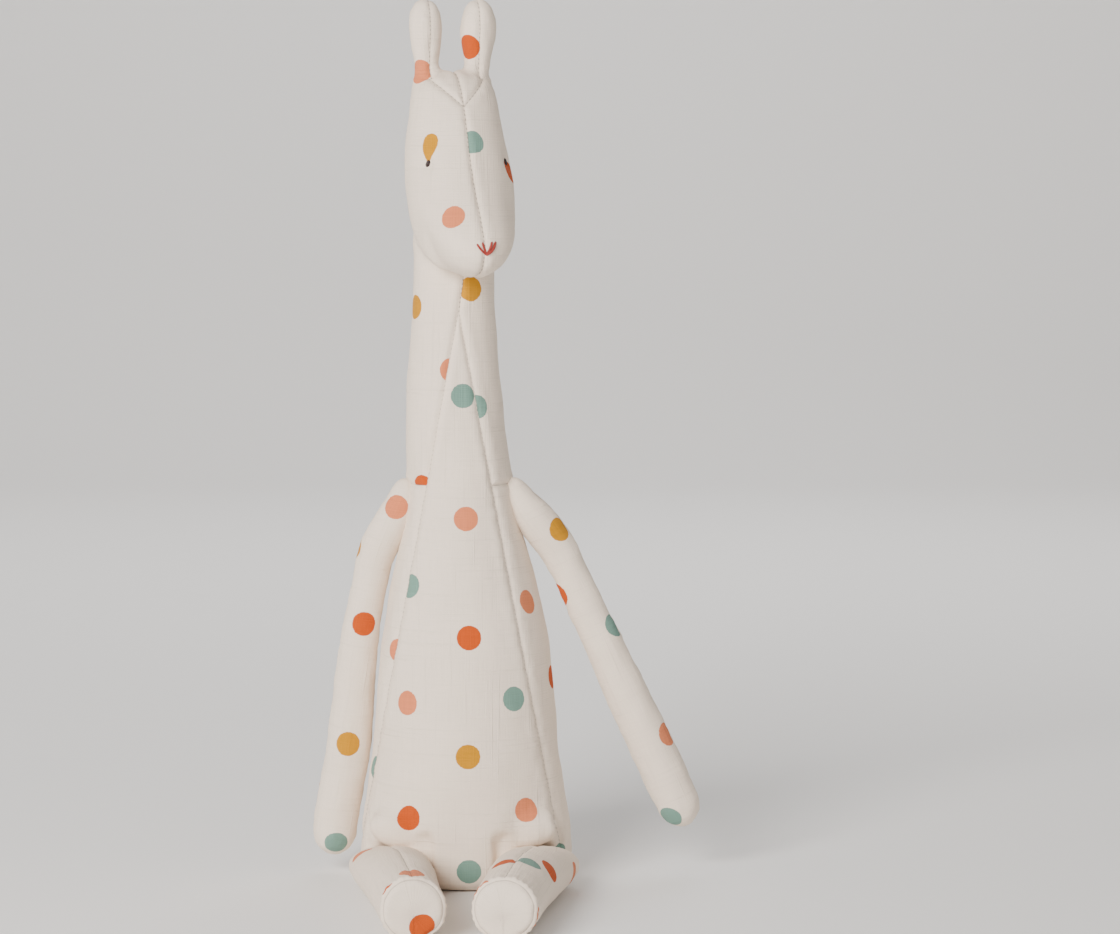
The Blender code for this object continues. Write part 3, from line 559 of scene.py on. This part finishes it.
# ================================================================ printing
def print_dots(obj, points, dots, sides):
    """Stores each point's distance inside its nearest printed dot, and that dot's colour.

    A dot is a centre on the cloth, a radius, a colour and the panel that it is cut to.
    """
    best = np.full(len(points), -0.02)
    colours = np.tile(linear(LINEN), (len(points), 1))
    for centre, radius, colour, panel in dots:
        inside = radius - np.linalg.norm(points - np.array(centre), axis=1)
        if panel is not None:
            inside = np.minimum(inside, sides(panel))
        closer = inside > best
        best = np.where(closer, inside, best)
        colours[closer] = linear(colour)
    store(obj, "print", best, "FLOAT")
    store(obj, "print_colour", colours, "FLOAT_COLOR")


def sight(x, z):
    """A place on the plane that faces the front view, and the line of sight through it."""
    place = AIM + Vector((x - AIM.x, 0, 0)) + VIEW_UP * (z - SIGHT_LEVEL)
    return place, (place - AIM - VIEW_BACK * CAMERA_DISTANCE).normalized()


def on_cloth(tree, place, facing=(0, 1, 0)):
    """The cloth's nearest place along a view line, or nearest of all if the line misses it."""
    start = Vector(place) - Vector(facing) * 0.4
    hit = tree.ray_cast(start, Vector(facing))[0]
    if hit is None:
        hit = tree.find_nearest(Vector(place))[0]
    return hit


def fill_dots(dots, tree, low, high, spacing, seed, panel_of, keep=lambda p: True):
    """Adds dots by chance where the listed ones leave cloth bare."""
    draw = random.Random(seed)
    palette = (ORANGE, PEACH, TEAL, MUSTARD)
    colour = 0
    for _ in range(DOT_TRIES):
        place = Vector([draw.uniform(a, b) for a, b in zip(low, high)])
        hit = tree.find_nearest(place)[0]
        if hit is None or not keep(hit):
            continue
        if all((hit - Vector(dot[0])).length > spacing for dot in dots):
            radius = DOT * draw.uniform(0.95, 1.04)
            dots.append((hit, radius, palette[colour % 4], panel_of(hit)))
            colour += draw.choice((1, 1, 2, 3))
    return dots


# ================================================================ body and head
def body_cloth():
    """One stuffed skin of torso, neck, head and ears, with its seams sewn in."""
    nodes = [*SKIN_NODES, "ballast_pouch"]
    balls = [(HEAD_PIVOT, (NECK_BALL,) * 3)]
    folds = []
    for side in ("left", "right"):
        nodes += ["ear_" + side + "_" + part for part in ("outer", "inner", "filling")]
        root = Vector(joints["ear_" + side + "_bend"]["pos_m"])
        balls.append((root - Vector((0, 0, 0.0040)), (EAR_BALL_LOW,) * 3))
        balls.append((root + Vector((0, 0, 0.0030)), (EAR_BALL_HIGH,) * 3))
        hip = Vector(joints["leg_" + side + "_swing"]["pos_m"])
        for sizes, inwards, ahead, up in (
                (BELLY_FOLD, BELLY_FOLD_IN, 0, BELLY_FOLD_UP),
                (CROTCH_FOLD, CROTCH_FOLD_IN, CROTCH_FOLD_AHEAD, CROTCH_FOLD_UP)):
            centre = hip + Vector((-math.copysign(inwards, hip.x), -ahead, up))
            balls.append((centre, sizes))
            folds.append(np.array(centre))
    obj = cad_copy("giraffe_cloth", nodes, balls)
    remesh(obj, BODY_VOXEL, 9)
    points = places(obj)
    away = np.min([np.linalg.norm(points - centre, axis=1) for centre in folds], axis=0)
    even_out(obj, FOLD_ROUNDS, 1 - eased(away, 0.012, 0.024))
    stuff(obj, BODY_SWELL)
    shape_body(obj)
    subdivide(obj)
    near = np.min(np.abs(body_seams(places(obj))), axis=1) < SEAM_BAND
    refine(obj, near)
    sew_body(obj)
    return obj


def shape_body(obj):
    """Leaf-shaped ears, a narrow chin, and the soft unevenness of the filling."""
    points = places(obj)
    out = normals(obj)
    lumps = 0.0009 * bump_field(points, 0.030, 1) + 0.0004 * bump_field(points, 0.014, 2)
    points += out * lumps[:, None]

    local = head_local(points)
    chin = (1 - eased(local[:, 2], -0.010, 0.012)) * eased(local[:, 2], -0.026, -0.020)
    chin *= eased(-local[:, 1], 0.024, 0.034)
    points[:, 2] += CHIN_RISE * (local[:, 0] / 0.015) ** 2 * chin

    top = points[:, 2].max()
    for side, sign in (("left", 1), ("right", -1)):
        root = np.array(joints["ear_" + side + "_bend"]["pos_m"])
        share = (points[:, 2] - EAR_CUT_Z) / (top - EAR_CUT_Z)
        mine = (share > EAR_WIDTHS[0][0]) & ((points[:, 0] - EARS_MIDDLE_X) * sign > 0)
        wide = np.interp(share, *EAR_WIDTHS)
        for axis in (0, 1):
            away = points[:, axis] - root[axis]
            points[:, axis] = np.where(mine, root[axis] + away * wide, points[:, axis])
    above = points[:, 2] - EAR_CUT_Z
    points[:, 2] = np.where(above > 0, EAR_CUT_Z + above * EAR_RISE, points[:, 2])
    put(obj, points)


def eye_places(tree):
    """The right eye as it shows from the front, and its mirror image on the head's left."""
    seen = on_cloth(tree, *sight(*EYE_SIGHT))
    local = head_local(np.array([seen]))[0]
    other = HEAD_PIVOT - local[0] * HEAD_SIDEWAYS + (local[1] + LEFT_EYE_BACK) * HEAD_BACK
    other[2] += local[2]
    return {"right": seen, "left": tree.find_nearest(Vector(other))[0]}


def sew_body(obj):
    """Presses in the seams and the eyes, and stores what the linen reads."""
    points = places(obj)
    out = normals(obj)
    eyes = eye_places(tree_of(obj)).values()
    rest = points.copy()
    seams = body_seams(points)
    distance = np.min(np.abs(seams), axis=1)
    pucker = bump_field(points, 0.0042, 5)
    groove = -BODY_GROOVE * np.exp(-((distance / GROOVE_WIDTH) ** 2))
    shoulder = SEAM_SHOULDER * np.exp(-(((distance - 0.0034) / 0.0020) ** 2))
    gathers = BODY_PUCKER * pucker * np.exp(-distance / 0.0045)
    depth = np.where(rest[:, 2] > EAR_CUT_Z, EAR_GROOVE_SHARE, 1.0)
    points += out * (depth * (groove + shoulder) + gathers)[:, None]

    for place in eyes:
        away = np.linalg.norm(points - np.array(place), axis=1)
        points -= out * (EYE_DIMPLE * np.exp(-((away / EYE_DIMPLE_WIDTH) ** 2)))[:, None]
    points[:, 2] = np.maximum(points[:, 2], FLOOR)
    put(obj, points)
    store(obj, "seams", seams, "FLOAT_VECTOR")
    travel = rest[:, 2] * STITCH_STRETCH + STITCH_ACROSS * np.abs(rest[:, 0])
    store(obj, "along", travel, "FLOAT")
    sideways = rest[:, 0] - MIDDLE_X
    back = rest[:, 1] - 0.002
    around = np.arctan2(sideways, -back)
    radius = np.hypot(sideways, back)
    store(obj, "cloth", np.stack((around * radius, rest[:, 2], 0 * around), axis=1), "FLOAT_VECTOR")


def ride_body(obj):
    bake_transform(obj)
    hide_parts(*SKIN_NODES)


def cut_ears(obj):
    """Parts the ears from the head, along a level line just above the crown."""
    parts = {}
    for name, above, side in (("ear_left_cloth", True, 1), ("ear_right_cloth", True, -1),
                              ("giraffe_cloth", False, 0)):
        mesh = bmesh.new()
        mesh.from_mesh(obj.data)
        bmesh.ops.bisect_plane(
            mesh, geom=mesh.verts[:] + mesh.edges[:] + mesh.faces[:],
            plane_co=(0, 0, EAR_CUT_Z), plane_no=(0, 0, 1),
            clear_inner=above, clear_outer=not above)
        if above:
            other = [v for v in mesh.verts if (v.co.x - EARS_MIDDLE_X) * side < 0]
            bmesh.ops.delete(mesh, geom=other, context="VERTS")
        rim = [e for e in mesh.edges if e.is_boundary]
        for edge in rim:
            edge.smooth = False
        bmesh.ops.holes_fill(mesh, edges=rim)
        data = bpy.data.meshes.new(name)
        mesh.to_mesh(data)
        mesh.free()
        part = bpy.data.objects.new(name + "_part", data)
        bpy.context.collection.objects.link(part)
        parts[name] = part
    bpy.data.objects.remove(obj)
    for name, part in parts.items():
        part.name = name
    return parts


def ride_ear(obj, side):
    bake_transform(obj)
    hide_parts(*["ear_" + side + "_" + part for part in ("outer", "inner", "filling")])


# ================================================================ arms and legs
def limb_cloth(name, nodes, voxel, cap):
    """A stuffed skin over a limb's CAD panels."""
    obj = cad_copy(name, nodes)
    remesh(obj, voxel, 4)
    stuff(obj, cap)
    subdivide(obj)
    return obj


def sew_limb(obj, seam, along, around, second=None, depth=0.0006, gathered=0.0):
    """Grooves, gathers and stored places for a limb whose seams are given by distance."""
    points = places(obj)
    out = normals(obj)
    other = second if second is not None else np.full(len(points), NO_SEAM)
    distance = np.minimum(np.abs(seam), np.abs(other))
    lumps = 0.0005 * bump_field(points, 0.016, 3) + 0.0003 * bump_field(points, 0.008, 4)
    groove = -depth * np.exp(-((distance / GROOVE_WIDTH) ** 2))
    gathers = 0.0004 * bump_field(points, 0.0038, 6) * np.exp(-distance / 0.004)
    moved = points + out * (lumps + groove + gathers + gathered)[:, None]
    moved[:, 2] = np.maximum(moved[:, 2], FLOOR)
    put(obj, moved)
    spare = np.full(len(points), NO_SEAM)
    store(obj, "seams", np.stack((seam, other, spare), axis=1), "FLOAT_VECTOR")
    store(obj, "along", along, "FLOAT")
    store(obj, "cloth", np.stack((around, along, 0 * along), axis=1), "FLOAT_VECTOR")


def arm(side):
    """A long soft tube whose top is sewn flat to the shoulder seam."""
    name = "arm_" + side
    nodes = [name + "_" + part for part in ("front", "back", "filling")]
    obj = limb_cloth(name + "_cloth", nodes, ARM_VOXEL, ARM_SWELL)
    points = places(obj)
    pivot = np.array(joints[name + "_swing"]["pos_m"])
    low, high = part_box(name + "_front")
    sign = 1 if side == "left" else -1
    tip = np.array(((high.x if sign > 0 else low.x) - sign * 0.010, pivot[1], low.z))
    down = (tip - pivot) / np.linalg.norm(tip - pivot)
    seam = points[:, 1] - pivot[1]
    along = (points - pivot) @ down
    centre = pivot + along[:, None] * down
    side_way = np.cross(down, (0, 1, 0))
    across = (points - centre) @ side_way
    around = np.arctan2(across, -seam) * ARM_TUBE
    seam = np.where(along < 0.004, NO_SEAM * np.sign(seam), seam)
    bulge = ARM_BULGE * np.exp(-(((along - ARM_BULGE_AT) / ARM_BULGE_RUN) ** 2))
    points += normals(obj) * bulge[:, None]
    held = 1 - eased(along, -0.004, ARM_ROOT_RUN)
    points[:, 0] -= sign * ARM_ROOT_IN * held
    points[:, 1] -= ARM_ROOT_AHEAD * held
    put(obj, points)
    sew_limb(obj, seam, along, around)
    tree = tree_of(obj)
    dots = [(on_cloth(tree, *sight(*place)), DOT, colour, None)
            for place, colour in ARM_DOTS[side]]
    dots = fill_dots(dots, tree, *grown(obj), ARM_DOT_SPACE, 11 if sign > 0 else 12,
                     lambda p: None, lambda p: p.y > pivot[1] - 0.002)
    print_dots(obj, places(obj), dots, None)
    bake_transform(obj)
    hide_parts(*nodes)
    return obj


def grown(obj):
    """The object's box, 4 mm larger all round."""
    points = places(obj)
    return points.min(axis=0) - 0.004, points.max(axis=0) + 0.004


def leg(side):
    """A short fat tube with a seam on top, gathered round a flat sole."""
    name = "leg_" + side
    nodes = [name + "_" + part for part in ("outer", "inner", "sole", "filling")]
    obj = limb_cloth(name + "_cloth", nodes, LEG_VOXEL, LEG_SWELL)
    points = places(obj)
    joint = joints[name + "_swing"]
    pivot = np.array(joint["pos_m"])
    sideways = np.array(joint["axis"])
    ahead = np.cross(sideways, (0, 0, 1))
    across = (points - pivot) @ sideways
    along = (points - pivot) @ ahead
    if along.mean() < 0:
        ahead = -ahead
        along = -along
    length = along.max()
    sole_centre = pivot + ahead * length
    low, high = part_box(name + "_sole")
    sole_centre[2] = (low.z + high.z) / 2
    sole_radius = (high.z - low.z) / 2
    from_middle = np.hypot(across, points[:, 2] - sole_centre[2])
    face = along > length - SOLE_EDGE
    ring = np.where(along > length - 2 * SOLE_EDGE, along - (length - RING_BEHIND), -NO_SEAM)
    ring = np.where(face, sole_radius - RING_IN - from_middle, ring)
    seam = np.where(points[:, 2] > pivot[2] * 0.9, across, NO_SEAM)
    seam = np.where(face, NO_SEAM, seam)
    around = np.arctan2(across, points[:, 2] - 0.013) * LEG_TUBE
    angle = np.arctan2(across, points[:, 2] - sole_centre[2])
    behind = (length - SOLE_EDGE) - along
    fade = np.where(behind > 0, np.exp(-behind / GATHER_RUN), 0.0)
    fade *= eased(behind, -0.0005, 0.0012)
    waves = np.sin(GATHER_COUNT * angle + 2.6 * bump_field(points, 0.010, 9))
    rim = RING_HEIGHT * np.exp(-(((behind - 0.0002) / GROOVE_WIDTH) ** 2))
    sew_limb(obj, seam, along, around, ring, 0.0008, GATHER_HEIGHT * waves * fade + rim)
    tree = tree_of(obj)
    dots = [(on_cloth(tree, *sight(*place)), DOT, colour, panel)
            for place, colour, panel in LEG_DOTS[side]]
    dots = fill_dots(dots, tree, *grown(obj), LEG_DOT_SPACE, 21 if side == "left" else 22,
                     lambda p: "tube", lambda p: p.z < 0.012)
    cut = {"tube": behind, "sole": ring}
    print_dots(obj, places(obj), dots, lambda panel: cut[panel])
    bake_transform(obj)
    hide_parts(*nodes)
    return obj


# ================================================================ floss and thread
def strand(name, points, radius, material, body, node=None):
    """A round thread along smooth points, as a mesh with closed ends."""
    curve = bpy.data.curves.new(name, "CURVE")
    curve.dimensions = "3D"
    curve.bevel_depth = radius
    curve.bevel_resolution = 3
    curve.use_fill_caps = True
    line = curve.splines.new("NURBS")
    line.points.add(len(points) - 1)
    for target, point in zip(line.points, points):
        target.co = (*point, 1.0)
    line.order_u = 3
    line.use_endpoint_u = True
    line.resolution_u = 4
    obj = bpy.data.objects.new(name, curve)
    bpy.context.collection.objects.link(obj)
    only(obj)
    bpy.ops.object.convert(target="MESH")
    obj = bpy.context.view_layer.objects.active
    obj.data.materials.append(material)
    obj.data.shade_smooth()
    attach(obj, body)
    if node:
        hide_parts(node)
    return obj


def join(name, objects):
    """Makes several meshes one, under a new name."""
    bpy.ops.object.select_all(action="DESELECT")
    for obj in objects:
        obj.select_set(True)
    bpy.context.view_layer.objects.active = objects[0]
    bpy.ops.object.join()
    objects[0].name = name
    objects[0].data.name = name
    return objects[0]


def over_cloth(tree, first, middle, last, count, lift):
    """A bowed line just over the cloth, ducking under it at both ends."""
    points = []
    for step in range(count):
        share = step / (count - 1)
        x, z = ((1 - share) ** 2 * a + 2 * share * (1 - share) * b + share**2 * c
                for a, b, c in zip(first, middle, last))
        hit = on_cloth(tree, *sight(x, z))
        rise = 1.0 if 0 < step < count - 1 else -1.6
        points.append(hit + VIEW_BACK * lift * rise)
    return points


def nose(tree):
    """Straight floss strands that fan up and out from one point."""
    red = floss_material("nose_red_floss", (148, 28, 8))
    for number, (end, bow, radius, layer) in enumerate(NOSE_STRANDS):
        points = over_cloth(tree, NOSE_POINT, bow, end, 8, radius * layer)
        node = ("nose_thread_right", "nose_thread_left")[number] if number < 2 else None
        strand("nose_strand_%d" % number, points, radius, red, "head", node)


def eye(side, place, tree, floss):
    """A knot of bowed strands side by side, higher than it is wide."""
    strands = []
    lean = -EYE_LEAN if side == "left" else EYE_LEAN
    hit, out = tree.find_nearest(Vector(place))[:2]
    upright = Vector((lean, 0, 1))
    along = (upright - out * out.dot(upright)).normalized()
    across = along.cross(out).normalized()
    for number in range(EYE_STRANDS):
        shift = (number - EYE_STRANDS // 2) * EYE_STRAND_STEP
        reach = EYE_HALF_HEIGHT * math.sqrt(1 - (shift / EYE_HALF_WIDTH) ** 2)
        points = []
        for step in range(7):
            share = step / 6 * 2 - 1
            rise = EYE_RISE * (1 - share**4) - EYE_SINK - abs(shift) * 0.4
            points.append(hit + across * shift + along * share * reach + out * rise)
        strands.append(strand("eye_part_%d" % number, points, EYE_FLOSS, floss, "head", None))
    knot = join("eye_" + side + "_knot", strands)
    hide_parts("eye_" + side)


def closing_stitches(tree):
    """Short slanting hand stitches that shut the back seam, and the shoulder threads."""
    thread = floss_material("pale_sewing_thread", (206, 196, 182), 0.1)
    low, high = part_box("closing_thread")
    made = []
    for number in range(CLOSING_COUNT):
        z = low.z + (high.z - low.z) * (number + 0.5) / CLOSING_COUNT
        first = on_cloth(tree, (MIDDLE_X - CLOSING_HALF, 0.05, z), (0, -1, 0))
        last = on_cloth(tree, (MIDDLE_X + CLOSING_HALF, 0.05, z + CLOSING_SLANT), (0, -1, 0))
        middle = first.lerp(last, 0.5) + Vector((0, 0.0004, 0))
        lift = Vector((0, 0.0001, 0))
        sink = Vector((0, 0.0006, 0))
        points = [first - sink, first + lift, middle, last + lift, last - sink]
        made.append(strand("closing_stitch_%02d" % number, points, CLOSING_THREAD, thread,
                           "torso", None))
    row = join("closing_stitches", made)
    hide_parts("closing_thread")
    for side in ("left", "right"):
        node = frame["nodes"]["shoulder_thread_" + side]
        node.data.materials.clear()
        node.data.materials.append(thread)


# ================================================================ stage
def stage():
    """A pale floor that curves up into low pale walls, with no line where they meet."""
    bpy.ops.mesh.primitive_cube_add(size=1, location=(0, 0, ROOM_HEIGHT / 2 - 0.0003),
                                    scale=(ROOM_WIDTH, ROOM_WIDTH, ROOM_HEIGHT))
    floor = bpy.context.view_layer.objects.active
    floor.name = "floor"
    bpy.ops.object.transform_apply(location=True, rotation=True, scale=True)
    open_top = bmesh.new()
    open_top.from_mesh(floor.data)
    bmesh.ops.delete(open_top, geom=[f for f in open_top.faces if f.normal.z > 0.5],
                     context="FACES_ONLY")
    bmesh.ops.reverse_faces(open_top, faces=open_top.faces)
    open_top.to_mesh(floor.data)
    open_top.free()
    curve = floor.modifiers.new("curve", "BEVEL")
    curve.width = ROOM_CURVE
    curve.segments = 32
    apply_all(floor)
    floor.data.shade_smooth()
    make = Nodes("pale_floor")
    make.shader.inputs["Base Color"].default_value = (0.90, 0.89, 0.88, 1)
    make.shader.inputs["Roughness"].default_value = 0.9
    floor.data.materials.append(make.material)

    def lamp(name, place, target, size, power, colour=(1, 1, 1)):
        light = bpy.data.lights.new(name, "AREA")
        light.shape = "SQUARE"
        light.size = size
        light.energy = power
        light.color = colour
        obj = bpy.data.objects.new(name, light)
        obj.location = place
        facing = Vector(target) - Vector(place)
        obj.rotation_euler = facing.to_track_quat("-Z", "Y").to_euler()
        bpy.context.collection.objects.link(obj)

    lamp("key_light", (-0.95, -1.75, 1.05), (0, 0, 0.18), 1.1, 78, (1.0, 0.965, 0.925))
    lamp("fill_light", (1.6, -1.2, 0.7), (0, 0, 0.2), 1.6, 2.5, (1.0, 0.985, 0.97))
    lamp("back_light", (0.4, 1.4, 1.5), (0, 0, 0.2), 1.4, 10)
    lamp("wall_light", (0.0, 1.3, 1.9), (0.0, 2.9, 0.5), 1.6, 24, (1.0, 0.985, 0.97))
    world = bpy.data.worlds.new("soft_room")
    bpy.context.scene.world = world
    world.use_nodes = True
    world.node_tree.nodes["Background"].inputs[0].default_value = (1.0, 0.98, 0.96, 1)
    world.node_tree.nodes["Background"].inputs[1].default_value = 0.27


def camera():
    data = bpy.data.cameras.new("camera")
    data.sensor_width = 36
    data.lens = 36 * CAMERA_DISTANCE / VIEW_WIDTH
    obj = bpy.data.objects.new("camera", data)
    obj.location = AIM + VIEW_BACK * CAMERA_DISTANCE
    obj.rotation_euler = (-VIEW_BACK).to_track_quat("-Z", "Y").to_euler()
    bpy.context.collection.objects.link(obj)
    bpy.context.scene.camera = obj


# ================================================================ places of the print and face
# x and z on the plane that faces the front view, as sight() reads them
EYE_SIGHT = (-0.0184, 0.3642)
LEFT_EYE_BACK = 0.0055
EYE_DOT = (-0.0173, 0.3752)
# share of the way from the dot to the eye, and radius: together a drop
EYE_DROP = ((0.0, 0.0042), (0.15, 0.0043), (0.32, 0.0038), (0.48, 0.0030), (0.64, 0.0021),
            (0.80, 0.0013))
NOSE_POINT = (0.0108, 0.3186)
# end, bow, radius, and how far above the cloth it lies, in radii
NOSE_STRANDS = (
    ((0.0061, 0.3238), (0.0080, 0.3206), 0.00056, 0.5),
    ((0.0151, 0.3248), (0.0148, 0.3204), 0.00074, 0.5),
    ((0.0087, 0.3248), (0.0094, 0.3222), 0.00052, 0.9),
    ((0.0134, 0.3250), (0.0132, 0.3218), 0.00062, 0.9),
)
EYE_STRANDS = 5
EYE_STRAND_STEP = 0.00040
EYE_HALF_HEIGHT = 0.0021
EYE_HALF_WIDTH = 0.0013
EYE_RISE = 0.0010
EYE_SINK = 0.0004
EYE_FLOSS = 0.00034
EYE_LEAN = 0.28
CLOSING_COUNT = 17
CLOSING_HALF = 0.0015
CLOSING_SLANT = 0.0016
CLOSING_THREAD = 0.00022

# x, z, colour, panel, for what shows from the front
FRONT_DOTS = (
    (-0.0225, 0.4100, PEACH, "head_right"),
    (0.0037, 0.3750, TEAL, "head_left"),
    (-0.0060, 0.3375, PEACH, "head_right"),
    (0.0225, 0.3600, ORANGE, "head_left"),
    (0.0030, 0.3015, MUSTARD, "neck_left"),
    (-0.0250, 0.2925, MUSTARD, "neck_right"),
    (-0.0065, 0.2610, PEACH, "neck_right"),
    (-0.0010, 0.2480, TEAL, "gusset"),
    (0.0055, 0.2425, TEAL, "neck_left"),
    (-0.0215, 0.2025, ORANGE, "neck_right"),
    (0.0005, 0.1865, PEACH, "gusset"),
    (-0.0275, 0.1530, TEAL, "gusset"),
    (0.0020, 0.1270, ORANGE, "gusset"),
    (-0.0340, 0.1205, PEACH, "body_right"),
    (0.0245, 0.0965, TEAL, "gusset"),
    (-0.0290, 0.0945, PEACH, "gusset"),
    (0.0015, 0.0675, MUSTARD, "gusset"),
    (-0.0450, 0.0620, TEAL, "body_right"),
    (0.0305, 0.0410, PEACH, "gusset"),
    (-0.0280, 0.0370, ORANGE, "gusset"),
    (0.0020, 0.0100, TEAL, "gusset"),
    (-0.0137, 0.4440, MUSTARD, None),
    (0.0015, 0.4225, ORANGE, None),
)
ARM_DOTS = {
    "right": (((-0.0345, 0.1925), PEACH), ((-0.0505, 0.1340), ORANGE),
              ((-0.0585, 0.0740), MUSTARD), ((-0.0635, 0.0175), TEAL)),
    "left": (((0.0475, 0.1815), MUSTARD), ((0.0745, 0.1335), TEAL),
             ((0.1010, 0.0790), PEACH), ((0.1025, 0.0370), TEAL)),
}
LEG_DOTS = {
    "right": (((-0.0520, 0.0195), PEACH, "tube"), ((-0.0265, 0.0095), PEACH, "tube"),
              ((-0.0352, -0.0020), ORANGE, "tube"), ((-0.0215, -0.0175), ORANGE, "sole")),
    "left": (((0.0190, 0.0145), ORANGE, "tube"), ((0.0325, 0.0150), TEAL, "tube"),
             ((0.0430, 0.0110), ORANGE, "tube"), ((0.0065, 0.0015), PEACH, "tube"),
             ((0.0335, -0.0130), PEACH, "tube")),
}


def print_body(obj):
    """Prints the dots in their places in front, and by chance on the sides and back."""
    tree = tree_of(obj)
    points = places(obj)
    flat = np.empty(len(points) * 3, np.float32)
    obj.data.attributes["seams"].data.foreach_get("vector", flat)
    seams = flat.reshape(-1, 3).astype(float)
    dots = [(on_cloth(tree, *sight(x, z)), DOT, colour, panel)
            for x, z, colour, panel in FRONT_DOTS]
    eye_place = eye_places(tree)["right"]
    for share, radius in EYE_DROP:
        place = on_cloth(tree, *sight(*EYE_DOT)).lerp(eye_place, share)
        dots.append((place, radius, MUSTARD, "head_right"))

    def bare(place):
        return place.y > 0.004 or place.x > 0.030

    dots = fill_dots(dots, tree, *grown(obj), BODY_DOT_SPACE, 7, lambda place: None, bare)
    print_dots(obj, points, dots, lambda panel: panel_side(seams, panel))
    return tree


def main():
    stage()
    camera()
    linen = linen_material("printed_linen", LINEN)
    cloth = body_cloth()
    tree = print_body(cloth)
    parts = cut_ears(cloth)
    made = list(parts.values())
    for side in ("left", "right"):
        made.append(arm(side))
        made.append(leg(side))
    for obj in made:
        obj.data.materials.clear()
        obj.data.materials.append(linen)
        obj.data.polygons.foreach_set("use_smooth", [True] * len(obj.data.polygons))
    ride_body(parts["giraffe_cloth"])
    for side in ("left", "right"):
        ride_ear(parts["ear_" + side + "_cloth"], side)
    nose(tree)
    dark = floss_material("eye_dark_floss", (34, 8, 6))
    for side, place in eye_places(tree).items():
        eye(side, place, tree, dark)
    closing_stitches(tree)
    pouch = frame["nodes"]["ballast_pouch"]
    pouch.data.materials.clear()
    pouch.data.materials.append(calico_material())


main()
